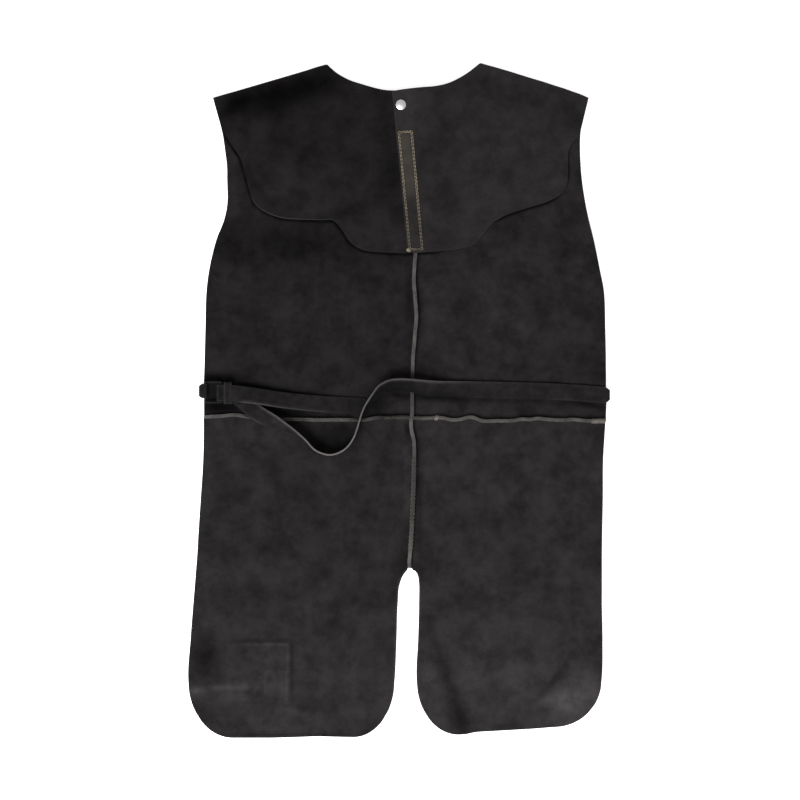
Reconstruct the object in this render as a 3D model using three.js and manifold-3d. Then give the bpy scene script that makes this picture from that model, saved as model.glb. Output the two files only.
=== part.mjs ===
import * as THREE from "three";
import { mergeVertices } from "three/addons/utils/BufferGeometryUtils.js";
import Module from "manifold-3d";

// Split-leg leather welding apron, lying on its front with the wearer's side up.
// Millimetres: +Y runs to the neck, +Z to the wearer, left and right are as seen from above.

// Driving dimensions
const LEATHER = 1.6; // thickness of the panels
const GAP = 0.3; // clearance between neighbouring pieces
const FOLD = 2; // size of the bend where a panel turns up into a seam
const SEAM_HALF = (LEATHER + GAP) / 2; // from a seam's line to the middle of each raw edge
const STRAP_WIDTH = 26;
const STRAP_THICKNESS = 2.6;
const SIDE_LIFT = 2.8; // how far the bib rides over the strap ends turned to the front
const STRAP_Y = 13; // height of the waist strap above the middle of the apron
const LEFT_EDGE = -308; // side edges of the bib at the waist strap
const RIGHT_EDGE = 327;
const YOKE_REST = 1.5 * LEATHER + 0.4; // middle of a yoke half that lies on the bib
const YOKE_RISE = 8; // extra height of the yoke over the centre seam
const YOKE_SPREAD = 108; // how far that rise reaches to each side
const OVERLAP_RISE = 4.6; // room for the closure between the two yoke halves
const TAPE_THICKNESS = 1;
const TAPE_WIDTH = 24;
const SNAP_AT = { x: 3, y: 466 };
const SNAP_HOLE_RADIUS = 2.4;
const EDGE_TURN_X = RIGHT_EDGE + 2.3; // middle of the strap's turn round the right side
const EDGE_Y = 8.5; // the strap hangs a little lower there
const EDGE_PULL = 10; // how much narrower it is drawn at the end of that turn
const EDGE_PULL_FROM = RIGHT_EDGE - 3; // where it starts to be drawn in
const TAB_WIDTH = 23;
const TAB_Y = 15; // the tab sits a little high in the buckle
const TAB_TURN_X = LEFT_EDGE - 1; // middle of the tab's turn round the left side
const TAB_PULL = 6; // how much narrower the tab is drawn at the end of that turn
const TAB_START_X = -268; // end of the tab under the bib
const TAB_FLAT_X = -290; // last place where the tab lies flat on the floor
const TAB_END_X = -309.5; // end of the tab behind the buckle
const BUCKLE_Z = 10.5; // middle of the buckle's thickness
const BUCKLE_THICKNESS = 3;
const BUCKLE_HALF = 17.5; // half of the buckle's height along the apron
const BUCKLE_RIGHT = -278; // its edge over the strap
const BUCKLE_RAIL = 3; // width of the rails that join its two bars
const TAB_BAR_X = -305.5; // middle of the bar that the tab holds
const STRAP_BAR_X = -283.2; // round edge of the bar that the strap turns about
const KEEPER_X = -276; // left end of the keeper
const KEEPER_LENGTH = 12;
const KEEPER_WALL = 1.2;
const KEEPER = { low: STRAP_Y - 18.5, high: STRAP_Y + 16.5, under: 4.7, over: 16.4 };

// Centre seam from the neck to the split, and how high its raw edges stand
const CENTRE_SEAM = [
  { y: 430, x: 24, height: 9 },
  { y: 230, x: 26, height: 9 },
  { y: 195, x: 23, height: 9 },
  { y: 134, x: 28, height: 9 },
  { y: 62, x: 23, height: 8 },
  { y: 38, x: 21.5, height: 5 },
  { y: 8, x: 21, height: 5 },
  { y: -12, x: 21, height: 8 },
  { y: -46, x: 19.6, height: 8 },
  { y: -68, x: 24, height: 8 },
  { y: -126, x: 23.4, height: 7 },
  { y: -205, x: 20.2, height: 7 },
  { y: -266, x: 16.8, height: 6 },
];

// Waist seam from left to right, pressed low where the strap crosses it
const WAIST_SEAM = [
  { x: -335, y: -27, height: 6 },
  { x: -280, y: -24.5, height: 6 },
  { x: -264, y: -22.5, height: 3 },
  { x: -243, y: -25, height: 3 },
  { x: -217, y: -30, height: 3 },
  { x: -165, y: -30, height: 3 },
  { x: -150, y: -30.2, height: 7 },
  { x: -95, y: -30.4, height: 7 },
  { x: -88, y: -30.5, height: 4 },
  { x: -48, y: -30.2, height: 4 },
  { x: -36, y: -27.5, height: 7 },
  { x: 4, y: -26, height: 7 },
  { x: 40, y: -28, height: 6 },
  { x: 110, y: -27, height: 6.5 },
  { x: 160, y: -32, height: 7 },
  { x: 217, y: -29, height: 7 },
  { x: 335, y: -32, height: 7 },
];

// Low folds of the panels that lie on the floor
const FLOOR_FOLDS = [
  { x: 52, y: -440, angle: -72, length: 75, width: 20, height: 6 },
  { x: -270, y: -452, angle: 6, length: 50, width: 16, height: 3.5 },
  { x: 240, y: -452, angle: 40, length: 34, width: 18, height: 3.5 },
  { x: 300, y: 250, angle: 70, length: 50, width: 22, height: 3 },
];

// Folds of the yoke above the height that it already has
const YOKE_FOLDS = [
  { x: -92, y: 284, angle: 17, length: 34, width: 16, height: 2.5 },
  { x: 252, y: 356, angle: 75, length: 36, width: 20, height: 3 },
];

// Shares of a panel's width or of a yoke section's length at which it has points
const PANEL_SHARES = [0, 0.07, 0.14, 0.24, 0.35, 0.46, 0.57, 0.68, 0.79, 0.9, 1];
const YOKE_SHARES = [0, 0.08, 0.2, 0.34, 0.48, 0.62, 0.76, 0.9, 1];

// Bib rows from the waist up: a point on the side edge and one on the inner edge.
// Where the row is sewn into the centre seam, only the height of the inner point is given.
const BIB_LEFT = [
  { sideX: -308, sideY: -28, seamY: -28 },
  { sideX: -308, sideY: -19, seamY: -19 },
  { sideX: -308, sideY: -7, seamY: -7 },
  { sideX: -308, sideY: STRAP_Y, seamY: STRAP_Y },
  { sideX: -308, sideY: 33, seamY: 33 },
  { sideX: -307.5, sideY: 54, seamY: 54 },
  { sideX: -306, sideY: 111, seamY: 111 },
  { sideX: -304, sideY: 175, seamY: 172 },
  { sideX: -300, sideY: 206, seamY: 214 },
  { sideX: -288.5, sideY: 254, seamY: 270 },
  { sideX: -276.5, sideY: 285, seamY: 320 },
  { sideX: -271.5, sideY: 309, seamY: 362 },
  { sideX: -271.5, sideY: 348, seamY: 418 },
  { sideX: -272, sideY: 372, innerX: -22, innerY: 427 },
  { sideX: -275, sideY: 396, innerX: -56, innerY: 442 },
  { sideX: -278.5, sideY: 420, innerX: -83, innerY: 464 },
  { sideX: -285, sideY: 446, innerX: -101, innerY: 494 },
  { sideX: -294, sideY: 478, innerX: -114, innerY: 531 },
];
const BIB_RIGHT = [
  { sideX: 327, sideY: -28, seamY: -28 },
  { sideX: 327, sideY: -19, seamY: -19 },
  { sideX: 327.5, sideY: -7, seamY: -7 },
  { sideX: RIGHT_EDGE, sideY: STRAP_Y, seamY: STRAP_Y },
  { sideX: 327, sideY: 33, seamY: 33 },
  { sideX: 327, sideY: 54, seamY: 54 },
  { sideX: 326, sideY: 111, seamY: 111 },
  { sideX: 323.5, sideY: 175, seamY: 172 },
  { sideX: 317.5, sideY: 206, seamY: 214 },
  { sideX: 307.5, sideY: 254, seamY: 270 },
  { sideX: 300, sideY: 285, seamY: 320 },
  { sideX: 295, sideY: 309, seamY: 362 },
  { sideX: 289, sideY: 348, seamY: 418 },
  { sideX: 287, sideY: 372, innerX: 70, innerY: 427 },
  { sideX: 286, sideY: 396, innerX: 96, innerY: 443 },
  { sideX: 286.5, sideY: 420, innerX: 112, innerY: 466 },
  { sideX: 290.5, sideY: 446, innerX: 121, innerY: 496 },
  { sideX: 299.5, sideY: 478, innerX: 128, innerY: 533 },
];

// Leg rows from the waist down to where the rounded hem begins
const LEG_LEFT = [
  { sideX: -308.5, sideY: -34, seamY: -34 },
  { sideX: -308.5, sideY: -43, seamY: -43 },
  { sideX: -309.5, sideY: -94, seamY: -94 },
  { sideX: -313.5, sideY: -157, seamY: -157 },
  { sideX: -317, sideY: -210, seamY: -210 },
  { sideX: -319.5, sideY: -252, seamY: -256 },
  { sideX: -320.5, sideY: -264, seamY: -266 },
  { sideX: -321.2, sideY: -273, innerX: 9, innerY: -272.5 },
  { sideX: -321.8, sideY: -281, innerX: 4.5, innerY: -280 },
  { sideX: -322.5, sideY: -290, innerX: 1, innerY: -290 },
  { sideX: -325, sideY: -320, innerX: -2, innerY: -320 },
  { sideX: -329.5, sideY: -378, innerX: -4, innerY: -378 },
  { sideX: -333, sideY: -442, innerX: -7, innerY: -442 },
];
const LEG_RIGHT = [
  { sideX: 326, sideY: -34, seamY: -34 },
  { sideX: 325.5, sideY: -43, seamY: -43 },
  { sideX: 322.5, sideY: -94, seamY: -94 },
  { sideX: 322, sideY: -157, seamY: -157 },
  { sideX: 321, sideY: -210, seamY: -210 },
  { sideX: 320.5, sideY: -252, seamY: -256 },
  { sideX: 320.5, sideY: -264, seamY: -266 },
  { sideX: 320.5, sideY: -273, innerX: 26, innerY: -270 },
  { sideX: 320.5, sideY: -281, innerX: 29.5, innerY: -275.5 },
  { sideX: 320.5, sideY: -290, innerX: 31, innerY: -284 },
  { sideX: 320.5, sideY: -320, innerX: 31.5, innerY: -320 },
  { sideX: 321.5, sideY: -378, innerX: 30, innerY: -378 },
  { sideX: 320, sideY: -442, innerX: 28, innerY: -442 },
];
const HEM_LEFT = { sideWidth: 70, sideDrop: 91, innerWidth: 65, innerDrop: 90 };
const HEM_RIGHT = { sideWidth: 75, sideDrop: 74, innerWidth: 66, innerDrop: 86 };
const HEM_ANGLES = [18, 36, 54, 72, 90];

// Yoke sections from its lower edge to the shoulder line or the neckline
const YOKE_LEFT = [
  { hemX: -280, hemY: 428, topX: -294, topY: 478 },
  { hemX: -266, hemY: 406, topX: -272, topY: 484.5 },
  { hemX: -251, hemY: 384, topX: -248, topY: 491 },
  { hemX: -242, hemY: 356, topX: -224, topY: 497 },
  { hemX: -236, hemY: 333, topX: -202, topY: 503.5 },
  { hemX: -229, hemY: 313, topX: -184, topY: 508.5 },
  { hemX: -213, hemY: 299, topX: -167, topY: 514 },
  { hemX: -188, hemY: 289, topX: -151, topY: 519.5 },
  { hemX: -158, hemY: 286, topX: -132, topY: 526 },
  { hemX: -130, hemY: 285, topX: -114, topY: 531 },
  { hemX: -103, hemY: 284, topX: -94, topY: 514.5 },
  { hemX: -91, hemY: 271, topX: -78, topY: 506 },
  { hemX: -77, hemY: 250, topX: -62, topY: 500.5 },
  { hemX: -58, hemY: 238, topX: -44, topY: 495 },
  { hemX: -25, hemY: 234, topX: -22, topY: 490 },
  { hemX: 8, hemY: 232.5, topX: 4, topY: 489 },
  { hemX: 42, hemY: 233.5, topX: 30, topY: 489.5 },
];
const YOKE_RIGHT = [
  { hemX: 13.5, hemY: 234.5, topX: -11, topY: 488 },
  { hemX: 40, hemY: 234, topX: 12, topY: 491.5 },
  { hemX: 68, hemY: 236, topX: 36, topY: 494 },
  { hemX: 95, hemY: 239.5, topX: 58, topY: 496 },
  { hemX: 117, hemY: 246, topX: 78, topY: 501 },
  { hemX: 131, hemY: 261, topX: 103, topY: 514 },
  { hemX: 148, hemY: 281, topX: 128, topY: 533 },
  { hemX: 172, hemY: 294, topX: 150, topY: 527 },
  { hemX: 202, hemY: 304, topX: 174, topY: 520 },
  { hemX: 234, hemY: 314, topX: 198, topY: 512.5 },
  { hemX: 254, hemY: 325, topX: 216, topY: 507 },
  { hemX: 264, hemY: 338, topX: 231, topY: 502.5 },
  { hemX: 267, hemY: 358, topX: 246, topY: 497.5 },
  { hemX: 267, hemY: 378, topX: 259, topY: 493.5 },
  { hemX: 268.5, hemY: 396, topX: 273, topY: 488.5 },
  { hemX: 276, hemY: 409, topX: 287, topY: 483.5 },
  { hemX: 285, hemY: 418, topX: 299.5, topY: 478 },
];
const SHOULDER_LEFT = { tipX: -294, tipY: 478, neckX: -114, neckY: 531 };
const SHOULDER_RIGHT = { tipX: 299.5, tipY: 478, neckX: 128, neckY: 533 };
const TAPE_AXIS = { topX: 9.5, topY: 425, hemX: 26, hemY: 238 };

// The strap's middle line. rest is the height of what it lies on, aim the direction in plan from
// its lower to its upper edge, tilt how far that upper edge is turned up, both in degrees.
const STRAP_ANCHOR = [
  { x: 288, y: EDGE_Y, rest: 0, aim: 90, tilt: 0 },
  { x: 308, y: EDGE_Y, rest: 0, aim: 90, tilt: 0 },
  { x: 326, y: EDGE_Y, rest: 0, aim: 90, tilt: 0 },
];
const STRAP_RUN = [
  { x: 326, y: EDGE_Y, rest: 4.8, aim: 90, tilt: 0 },
  { x: 284, y: 12, rest: 4.8, aim: 92, tilt: 0 },
  { x: 253, y: 13.8, rest: 2.6, aim: 92, tilt: 0 },
  { x: 225, y: 15, rest: 2, aim: 91, tilt: 0 },
  { x: 168, y: 16.5, rest: 2, aim: 91, tilt: 0 },
  { x: 112, y: 17.5, rest: 2, aim: 90, tilt: 2 },
  { x: 85, y: 17.8, rest: 2.3, aim: 90, tilt: 6 },
  { x: 62, y: 18.3, rest: 3.4, aim: 91, tilt: 13 },
  { x: 41, y: 20.4, rest: 4.8, aim: 92, tilt: 24 },
  { x: 21, y: 23.8, rest: 6, aim: 92, tilt: 38 },
  { x: 2, y: 25.2, rest: 5.2, aim: 93, tilt: 42 },
  { x: -13, y: 24.2, rest: 3.8, aim: 107, tilt: 46 },
  { x: -27, y: 18.8, rest: 3.6, aim: 126, tilt: 57 },
  { x: -41, y: 5, rest: 5.1, aim: 144, tilt: 73 },
  { x: -52, y: -8.5, rest: 5.1, aim: 154, tilt: 84 },
  { x: -58.5, y: -20, rest: 5.2, aim: 160, tilt: 90 },
  { x: -62.5, y: -33, rest: 5.2, aim: 160, tilt: 90 },
  { x: -66.5, y: -46.5, rest: 3.2, aim: 155, tilt: 90 },
  { x: -72, y: -60, rest: 2, aim: 145, tilt: 90 },
  { x: -85, y: -76.5, rest: 2, aim: 120, tilt: 90 },
  { x: -108, y: -85.5, rest: 2, aim: 90, tilt: 90 },
  { x: -129, y: -80, rest: 2, aim: 60, tilt: 89 },
  { x: -150, y: -61, rest: 2, aim: 46, tilt: 84 },
  { x: -167, y: -48.5, rest: 2.6, aim: 48, tilt: 74 },
  { x: -182.5, y: -40, rest: 4, aim: 50, tilt: 59 },
  { x: -195.5, y: -33.5, rest: 4.6, aim: 53, tilt: 42 },
  { x: -207, y: -28.5, rest: 4.6, aim: 57, tilt: 27 },
  { x: -219, y: -22.5, rest: 4.2, aim: 62, tilt: 15 },
  { x: -231, y: -14, rest: 4, aim: 64, tilt: 6 },
  { x: -241, y: -5, rest: 4, aim: 66, tilt: 2 },
  { x: -252, y: 4, rest: 5, aim: 72, tilt: 0 },
  { x: -262, y: 9.8, rest: 6.1, aim: 82, tilt: 0 },
  { x: -271, y: 12, rest: 6.1, aim: 90, tilt: 0 },
];
const STRAP_FREE_END = [
  { x: -272, y: 12, rest: 12.3, aim: 90, tilt: 0 },
  { x: -262, y: 11.5, rest: 12, aim: 88, tilt: -1 },
  { x: -251, y: 10.2, rest: 10.8, aim: 86, tilt: -6 },
  { x: -239, y: 8.8, rest: 9.2, aim: 84, tilt: -13 },
  { x: -223, y: 6.8, rest: 7.2, aim: 83, tilt: -18 },
  { x: -205, y: 4, rest: 5.4, aim: 82, tilt: -18 },
  { x: -185, y: 1, rest: 4, aim: 82, tilt: -15 },
  { x: -160, y: -2, rest: 2.8, aim: 84, tilt: -12 },
  { x: -125, y: -5, rest: 2.2, aim: 86, tilt: -8 },
  { x: -92, y: -7, rest: 2, aim: 87, tilt: -4 },
  { x: -72, y: -7.7, rest: 2, aim: 87, tilt: -1 },
  { x: -56, y: -8.2, rest: 2, aim: 88, tilt: 0 },
];
const STRAP_TIP = { length: 6, width: 14 }; // the cut corners of the free end

// Value of one column of a table at a place along another, straight between its rows
function readOff(table, along, place, column) {
  const rising = table[0][along] < table.at(-1)[along];
  const rows = rising ? table : [...table].reverse();
  const last = rows.length - 1;
  const next = THREE.MathUtils.clamp(rows.findIndex((row) => row[along] >= place), 1, last);
  const [a, b] = [rows[next - 1], rows[next]];
  const share = THREE.MathUtils.clamp((place - a[along]) / (b[along] - a[along]), 0, 1);
  return THREE.MathUtils.lerp(a[column], b[column], place > b[along] ? 1 : share);
}

// Height that a table of folds adds at a point: each fold is a long round-backed ridge
function foldsAt(folds, x, y) {
  const least = 0.2; // below this the leather lies flat
  const total = folds.reduce((sum, fold) => {
    const turn = THREE.MathUtils.degToRad(fold.angle);
    const along = (x - fold.x) * Math.cos(turn) + (y - fold.y) * Math.sin(turn);
    const across = (y - fold.y) * Math.cos(turn) - (x - fold.x) * Math.sin(turn);
    return sum + fold.height * Math.exp(-((along / fold.length) ** 2) - (across / fold.width) ** 2);
  }, 0);
  return Math.max(0, total - least);
}

// Height of the middle of a panel that lies on the floor
function floorHeight(x, y) {
  const inward = Math.min(x - LEFT_EDGE, RIGHT_EDGE - x);
  const nearEdge = 1 - THREE.MathUtils.smoothstep(inward, 46, 80);
  const nearStrap = 1 - THREE.MathUtils.smoothstep(Math.abs(y - STRAP_Y), 20, 38);
  return LEATHER / 2 + SIDE_LIFT * nearEdge * nearStrap + foldsAt(FLOOR_FOLDS, x, y);
}

// Height of the middle of the yoke's under layer: low at the shoulders, high over the centre seam
function yokeHeight(x, y) {
  const here = new THREE.Vector3(x, y, 0);
  const away = Math.min(...[SHOULDER_LEFT, SHOULDER_RIGHT].map((shoulder) => {
    const tip = new THREE.Vector3(shoulder.tipX, shoulder.tipY, 0);
    const neck = new THREE.Vector3(shoulder.neckX, shoulder.neckY, 0);
    const nearest = new THREE.Line3(tip, neck).closestPointToPoint(here, true, new THREE.Vector3());
    return nearest.distanceTo(here);
  }));
  const overSeam = Math.exp(-(((x - readOff(CENTRE_SEAM, "y", y, "x")) / YOKE_SPREAD) ** 2));
  const free = THREE.MathUtils.smoothstep(away, 0, 70);
  return YOKE_REST + free * (YOKE_RISE * overSeam + foldsAt(YOKE_FOLDS, x, y));
}

// Height of the middle of the yoke's upper layer, raised over the lower one where they overlap
function upperYokeHeight(x, y) {
  return yokeHeight(x, y) + OVERLAP_RISE * (1 - THREE.MathUtils.smoothstep(x, 46, 105));
}

// A sheet of even thickness about a grid of points. A cell with a missing corner is left open,
// so a sheet can have notches and edges that turn up.
function sheet(grid, thickness) {
  const cells = [];
  for (let j = 0; j + 1 < grid.length; j++) {
    for (let i = 0; i + 1 < grid[j].length; i++) {
      const corners = [grid[j][i], grid[j][i + 1], grid[j + 1][i + 1], grid[j + 1][i]];
      if (corners.every(Boolean)) cells.push(corners);
    }
  }
  const facings = new Map();
  for (const corners of cells) {
    const across = corners[2].clone().sub(corners[0]);
    const facing = across.cross(corners[3].clone().sub(corners[1])).normalize();
    for (const corner of corners) facings.set(corner, [...(facings.get(corner) ?? []), facing]);
  }
  const vertices = [];
  const slots = new Map();
  for (const [point, found] of facings) {
    const normals = found.filter((n, k) => found.findIndex((m) => m.dot(n) > 0.99999) === k);
    const mean = normals.reduce((sum, n) => sum.add(n), new THREE.Vector3()).normalize();
    const mitre = 1 / Math.max(0.6, Math.min(...normals.map((n) => n.dot(mean))));
    const half = mean.multiplyScalar((thickness / 2) * mitre);
    slots.set(point, vertices.length / 3);
    vertices.push(...point.clone().add(half), ...point.clone().sub(half));
  }
  const upper = (point) => slots.get(point);
  const lower = (point) => slots.get(point) + 1;
  const triangles = [];
  const edges = new Map();
  const nameOf = (a, b) => `${upper(a)} ${upper(b)}`;
  for (const [a, b, c, d] of cells) {
    triangles.push(upper(a), upper(b), upper(c), upper(a), upper(c), upper(d));
    triangles.push(lower(a), lower(c), lower(b), lower(a), lower(d), lower(c));
    for (const [p, q] of [[a, b], [b, c], [c, d], [d, a]]) edges.set(nameOf(p, q), [p, q]);
  }
  for (const [p, q] of edges.values()) {
    if (edges.has(nameOf(q, p))) continue;
    triangles.push(upper(p), lower(p), lower(q), upper(p), lower(q), upper(q));
  }
  const geometry = new THREE.BufferGeometry();
  geometry.setAttribute("position", new THREE.Float32BufferAttribute(vertices, 3));
  geometry.setIndex(triangles);
  return geometry;
}

// A panel of the front. Its rows run from the side to the inner edge, its first row turns up into
// the waist seam and its sewn rows turn up into the centre seam. toward is +1 where the inner
// edge lies to the right of the side, and up is +1 where the rows go towards the neck.
function frontPanel(rows, toward, up) {
  const inset = FOLD + SEAM_HALF;
  const flat = rows.map((row, r) => {
    const innerY = row.innerY ?? row.seamY;
    const innerX = row.innerX ?? readOff(CENTRE_SEAM, "y", row.seamY, "x") - toward * inset;
    return PANEL_SHARES.map((share) => {
      const x = THREE.MathUtils.lerp(row.sideX, innerX, share);
      const onSeam = readOff(WAIST_SEAM, "x", x, "y") + up * inset;
      const y = r === 0 ? onSeam : THREE.MathUtils.lerp(row.sideY, innerY, share);
      return new THREE.Vector3(x, y, floorHeight(x, y));
    });
  });
  const grid = flat.map((points, r) => {
    if (rows[r].seamY === undefined) return [...points, null, null];
    const edge = points.at(-1);
    const bend = new THREE.Vector3(edge.x + toward * FOLD, edge.y, edge.z + FOLD);
    const height = readOff(CENTRE_SEAM, "y", edge.y, "height");
    return [...points, bend, new THREE.Vector3(bend.x, bend.y, height)];
  });
  const bends = flat[0].map((p) => new THREE.Vector3(p.x, p.y - up * FOLD, p.z + FOLD));
  const tops = bends.map((p) => new THREE.Vector3(p.x, p.y, readOff(WAIST_SEAM, "x", p.x, "height")));
  const corner = new THREE.Vector3(bends.at(-1).x + toward * FOLD, bends.at(-1).y, bends.at(-1).z);
  const all = [[...tops, null, null], [...bends, corner, null], ...grid];
  const panel = sheet(toward * up > 0 ? all : all.reverse(), LEATHER);
  const heights = panel.getAttribute("position");
  for (let k = 0; k < heights.count; k++) heights.setZ(k, Math.max(0, heights.getZ(k)));
  return panel;
}

// Rows of a leg's rounded hem: both ends sweep a quarter ellipse as the rows come down
function hemRows(start, hem, toward) {
  return HEM_ANGLES.map((angle) => {
    const turn = THREE.MathUtils.degToRad(angle);
    const inwards = 1 - Math.cos(turn);
    return {
      sideX: start.sideX + toward * hem.sideWidth * inwards,
      sideY: start.sideY - hem.sideDrop * Math.sin(turn),
      innerX: start.innerX - toward * hem.innerWidth * inwards,
      innerY: start.innerY - hem.innerDrop * Math.sin(turn),
    };
  });
}

// A yoke half through its sections, at the height that heightAt gives
function yoke(sections, heightAt) {
  const grid = sections.map((section) => YOKE_SHARES.map((share) => {
    const x = THREE.MathUtils.lerp(section.hemX, section.topX, share);
    const y = THREE.MathUtils.lerp(section.hemY, section.topY, share);
    return new THREE.Vector3(x, y, heightAt(x, y));
  }));
  return sheet(grid.reverse(), LEATHER);
}

// A closure tape along the overlap, raised above the yoke's under layer
function closureTape(raise) {
  const top = new THREE.Vector2(TAPE_AXIS.topX, TAPE_AXIS.topY);
  const hem = new THREE.Vector2(TAPE_AXIS.hemX, TAPE_AXIS.hemY);
  const across = hem.clone().sub(top).normalize().rotateAround(new THREE.Vector2(), Math.PI / 2);
  const steps = 8;
  const grid = Array.from({ length: steps + 1 }, (_, k) => [-0.5, 0, 0.5].map((side) => {
    const at = top.clone().lerp(hem, k / steps).addScaledVector(across, side * TAPE_WIDTH);
    return new THREE.Vector3(at.x, at.y, yokeHeight(at.x, at.y) + raise);
  }));
  return sheet(grid, TAPE_THICKNESS);
}

// Stations of a half turn in the XZ plane, from below to above, bulging to the right or the left
function halfTurn(x, z, radius, toRight, steps) {
  return Array.from({ length: steps + 1 }, (_, k) => {
    const angle = Math.PI * (k / steps - 0.5);
    return { x: x + (toRight ? 1 : -1) * radius * Math.cos(angle), z: z + radius * Math.sin(angle) };
  });
}

// The strap's stations, with a smooth line through the rows of its tables
function strapStations() {
  const anchorZ = STRAP_THICKNESS / 2;
  const runZ = STRAP_RUN[0].rest + STRAP_THICKNESS / 2;
  const edgeTurn = halfTurn(EDGE_TURN_X, (anchorZ + runZ) / 2, (runZ - anchorZ) / 2, true, 6);
  const barRadius = (BUCKLE_THICKNESS + STRAP_THICKNESS) / 2 + GAP;
  const barTurn = halfTurn(STRAP_BAR_X, BUCKLE_Z, barRadius, false, 6);
  const level = (turn, y) => turn.map((at) => ({ ...at, y, aim: 90, tilt: 0 }));
  const raised = (rows) => rows.map((row) => {
    const turn = THREE.MathUtils.degToRad(Math.abs(row.tilt));
    const half = (STRAP_WIDTH * Math.sin(turn) + STRAP_THICKNESS * Math.cos(turn)) / 2;
    return { ...row, z: row.rest + half };
  });
  const smoothed = (rows, steps) => {
    const line = new THREE.CatmullRomCurve3(rows.map((row) => new THREE.Vector3(row.x, row.y, row.z)));
    const lean = new THREE.CatmullRomCurve3(rows.map((row) => new THREE.Vector3(row.aim, row.tilt, 0)));
    const count = (rows.length - 1) * steps;
    return Array.from({ length: count + 1 }, (_, k) => {
      const [at, way] = [line.getPoint(k / count), lean.getPoint(k / count)];
      return { x: at.x, y: at.y, z: at.z, aim: way.x, tilt: way.y };
    });
  };
  const stations = [
    ...raised(STRAP_ANCHOR),
    ...level(edgeTurn, EDGE_Y),
    ...smoothed(raised(STRAP_RUN), 2),
    ...level(barTurn, STRAP_RUN.at(-1).y),
    ...smoothed(raised(STRAP_FREE_END), 2),
  ];
  const farthest = Math.max(...edgeTurn.map((at) => at.x));
  return stations.map((station) => {
    const drawn = THREE.MathUtils.clamp(
      (station.x - EDGE_PULL_FROM) / (farthest - EDGE_PULL_FROM), 0, 1,
    );
    return { ...station, width: STRAP_WIDTH - EDGE_PULL * drawn ** 2 };
  });
}

// A strap carried through stations, each with its middle point and the direction of its width,
// and with a width of its own where it is drawn narrower
function strapSheet(stations, width, thickness, tip) {
  const row = (station, reach) => {
    const [aim, tilt] = [station.aim, station.tilt].map(THREE.MathUtils.degToRad);
    const level = Math.cos(tilt);
    const side = new THREE.Vector3(Math.cos(aim) * level, Math.sin(aim) * level, Math.sin(tilt));
    const middle = new THREE.Vector3(station.x, station.y, station.z);
    return [-0.5, 0, 0.5].map((share) => middle.clone().addScaledVector(side, share * reach));
  };
  const grid = stations.map((station) => row(station, station.width ?? width));
  if (tip) {
    const end = stations.at(-1);
    grid.push(row({ ...end, x: end.x + tip.length }, tip.width));
  }
  return sheet(grid, thickness);
}

// The tab: from the front, round the bib's edge, over the buckle's bar and back below it
function tabStations() {
  const floorZ = LEATHER / 2;
  const barRadius = (BUCKLE_THICKNESS + LEATHER) / 2 + GAP;
  const topZ = BUCKLE_Z + barRadius;
  const turnRadius = (topZ - floorZ) / 2;
  const edgeTurn = halfTurn(TAB_TURN_X, (floorZ + topZ) / 2, turnRadius, false, 8);
  const drawn = edgeTurn.map((at) => {
    const share = (TAB_TURN_X - at.x) / turnRadius;
    return { ...at, width: TAB_WIDTH - TAB_PULL * share ** 2 };
  });
  const barTurn = halfTurn(TAB_BAR_X, BUCKLE_Z, barRadius, true, 6).reverse();
  const path = [
    { x: TAB_START_X, z: floorZ },
    { x: TAB_FLAT_X, z: floorZ },
    ...drawn,
    ...barTurn,
    { x: TAB_END_X, z: BUCKLE_Z - barRadius },
  ];
  return path.map((at) => ({ ...at, y: TAB_Y, aim: 90, tilt: 0 }));
}

// A rectangle with round corners, as a shape or as the path of a hole
function roundedRectangle(path, left, low, right, high, radius) {
  path.moveTo(left + radius, low);
  path.lineTo(right - radius, low);
  path.absarc(right - radius, low + radius, radius, -Math.PI / 2, 0, false);
  path.lineTo(right, high - radius);
  path.absarc(right - radius, high - radius, radius, 0, Math.PI / 2, false);
  path.lineTo(left + radius, high);
  path.absarc(left + radius, high - radius, radius, Math.PI / 2, Math.PI, false);
  path.lineTo(left, low + radius);
  path.absarc(left + radius, low + radius, radius, Math.PI, 1.5 * Math.PI, false);
  return path;
}

// The moulded buckle: a flat frame whose two bars carry the tab and the strap
function buckleGeometry() {
  const bevel = 1;
  const tabBarHalf = BUCKLE_THICKNESS / 2;
  const strapBarLeft = STRAP_BAR_X - BUCKLE_THICKNESS / 2;
  const [low, high] = [STRAP_Y - BUCKLE_HALF, STRAP_Y + BUCKLE_HALF];
  const left = TAB_BAR_X - tabBarHalf;
  const frame = roundedRectangle(
    new THREE.Shape(), left + bevel, low + bevel, BUCKLE_RIGHT - bevel, high - bevel, 2.5,
  );
  frame.holes.push(roundedRectangle(
    new THREE.Path(), TAB_BAR_X + tabBarHalf - bevel, low + BUCKLE_RAIL - bevel,
    strapBarLeft + bevel, high - BUCKLE_RAIL + bevel, 1.2,
  ));
  const geometry = new THREE.ExtrudeGeometry(frame, {
    depth: BUCKLE_THICKNESS - 2 * bevel,
    bevelSize: bevel,
    bevelThickness: bevel,
    bevelSegments: 1,
    curveSegments: 3,
  });
  return geometry.translate(0, 0, BUCKLE_Z - BUCKLE_THICKNESS / 2 + bevel);
}

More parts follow.
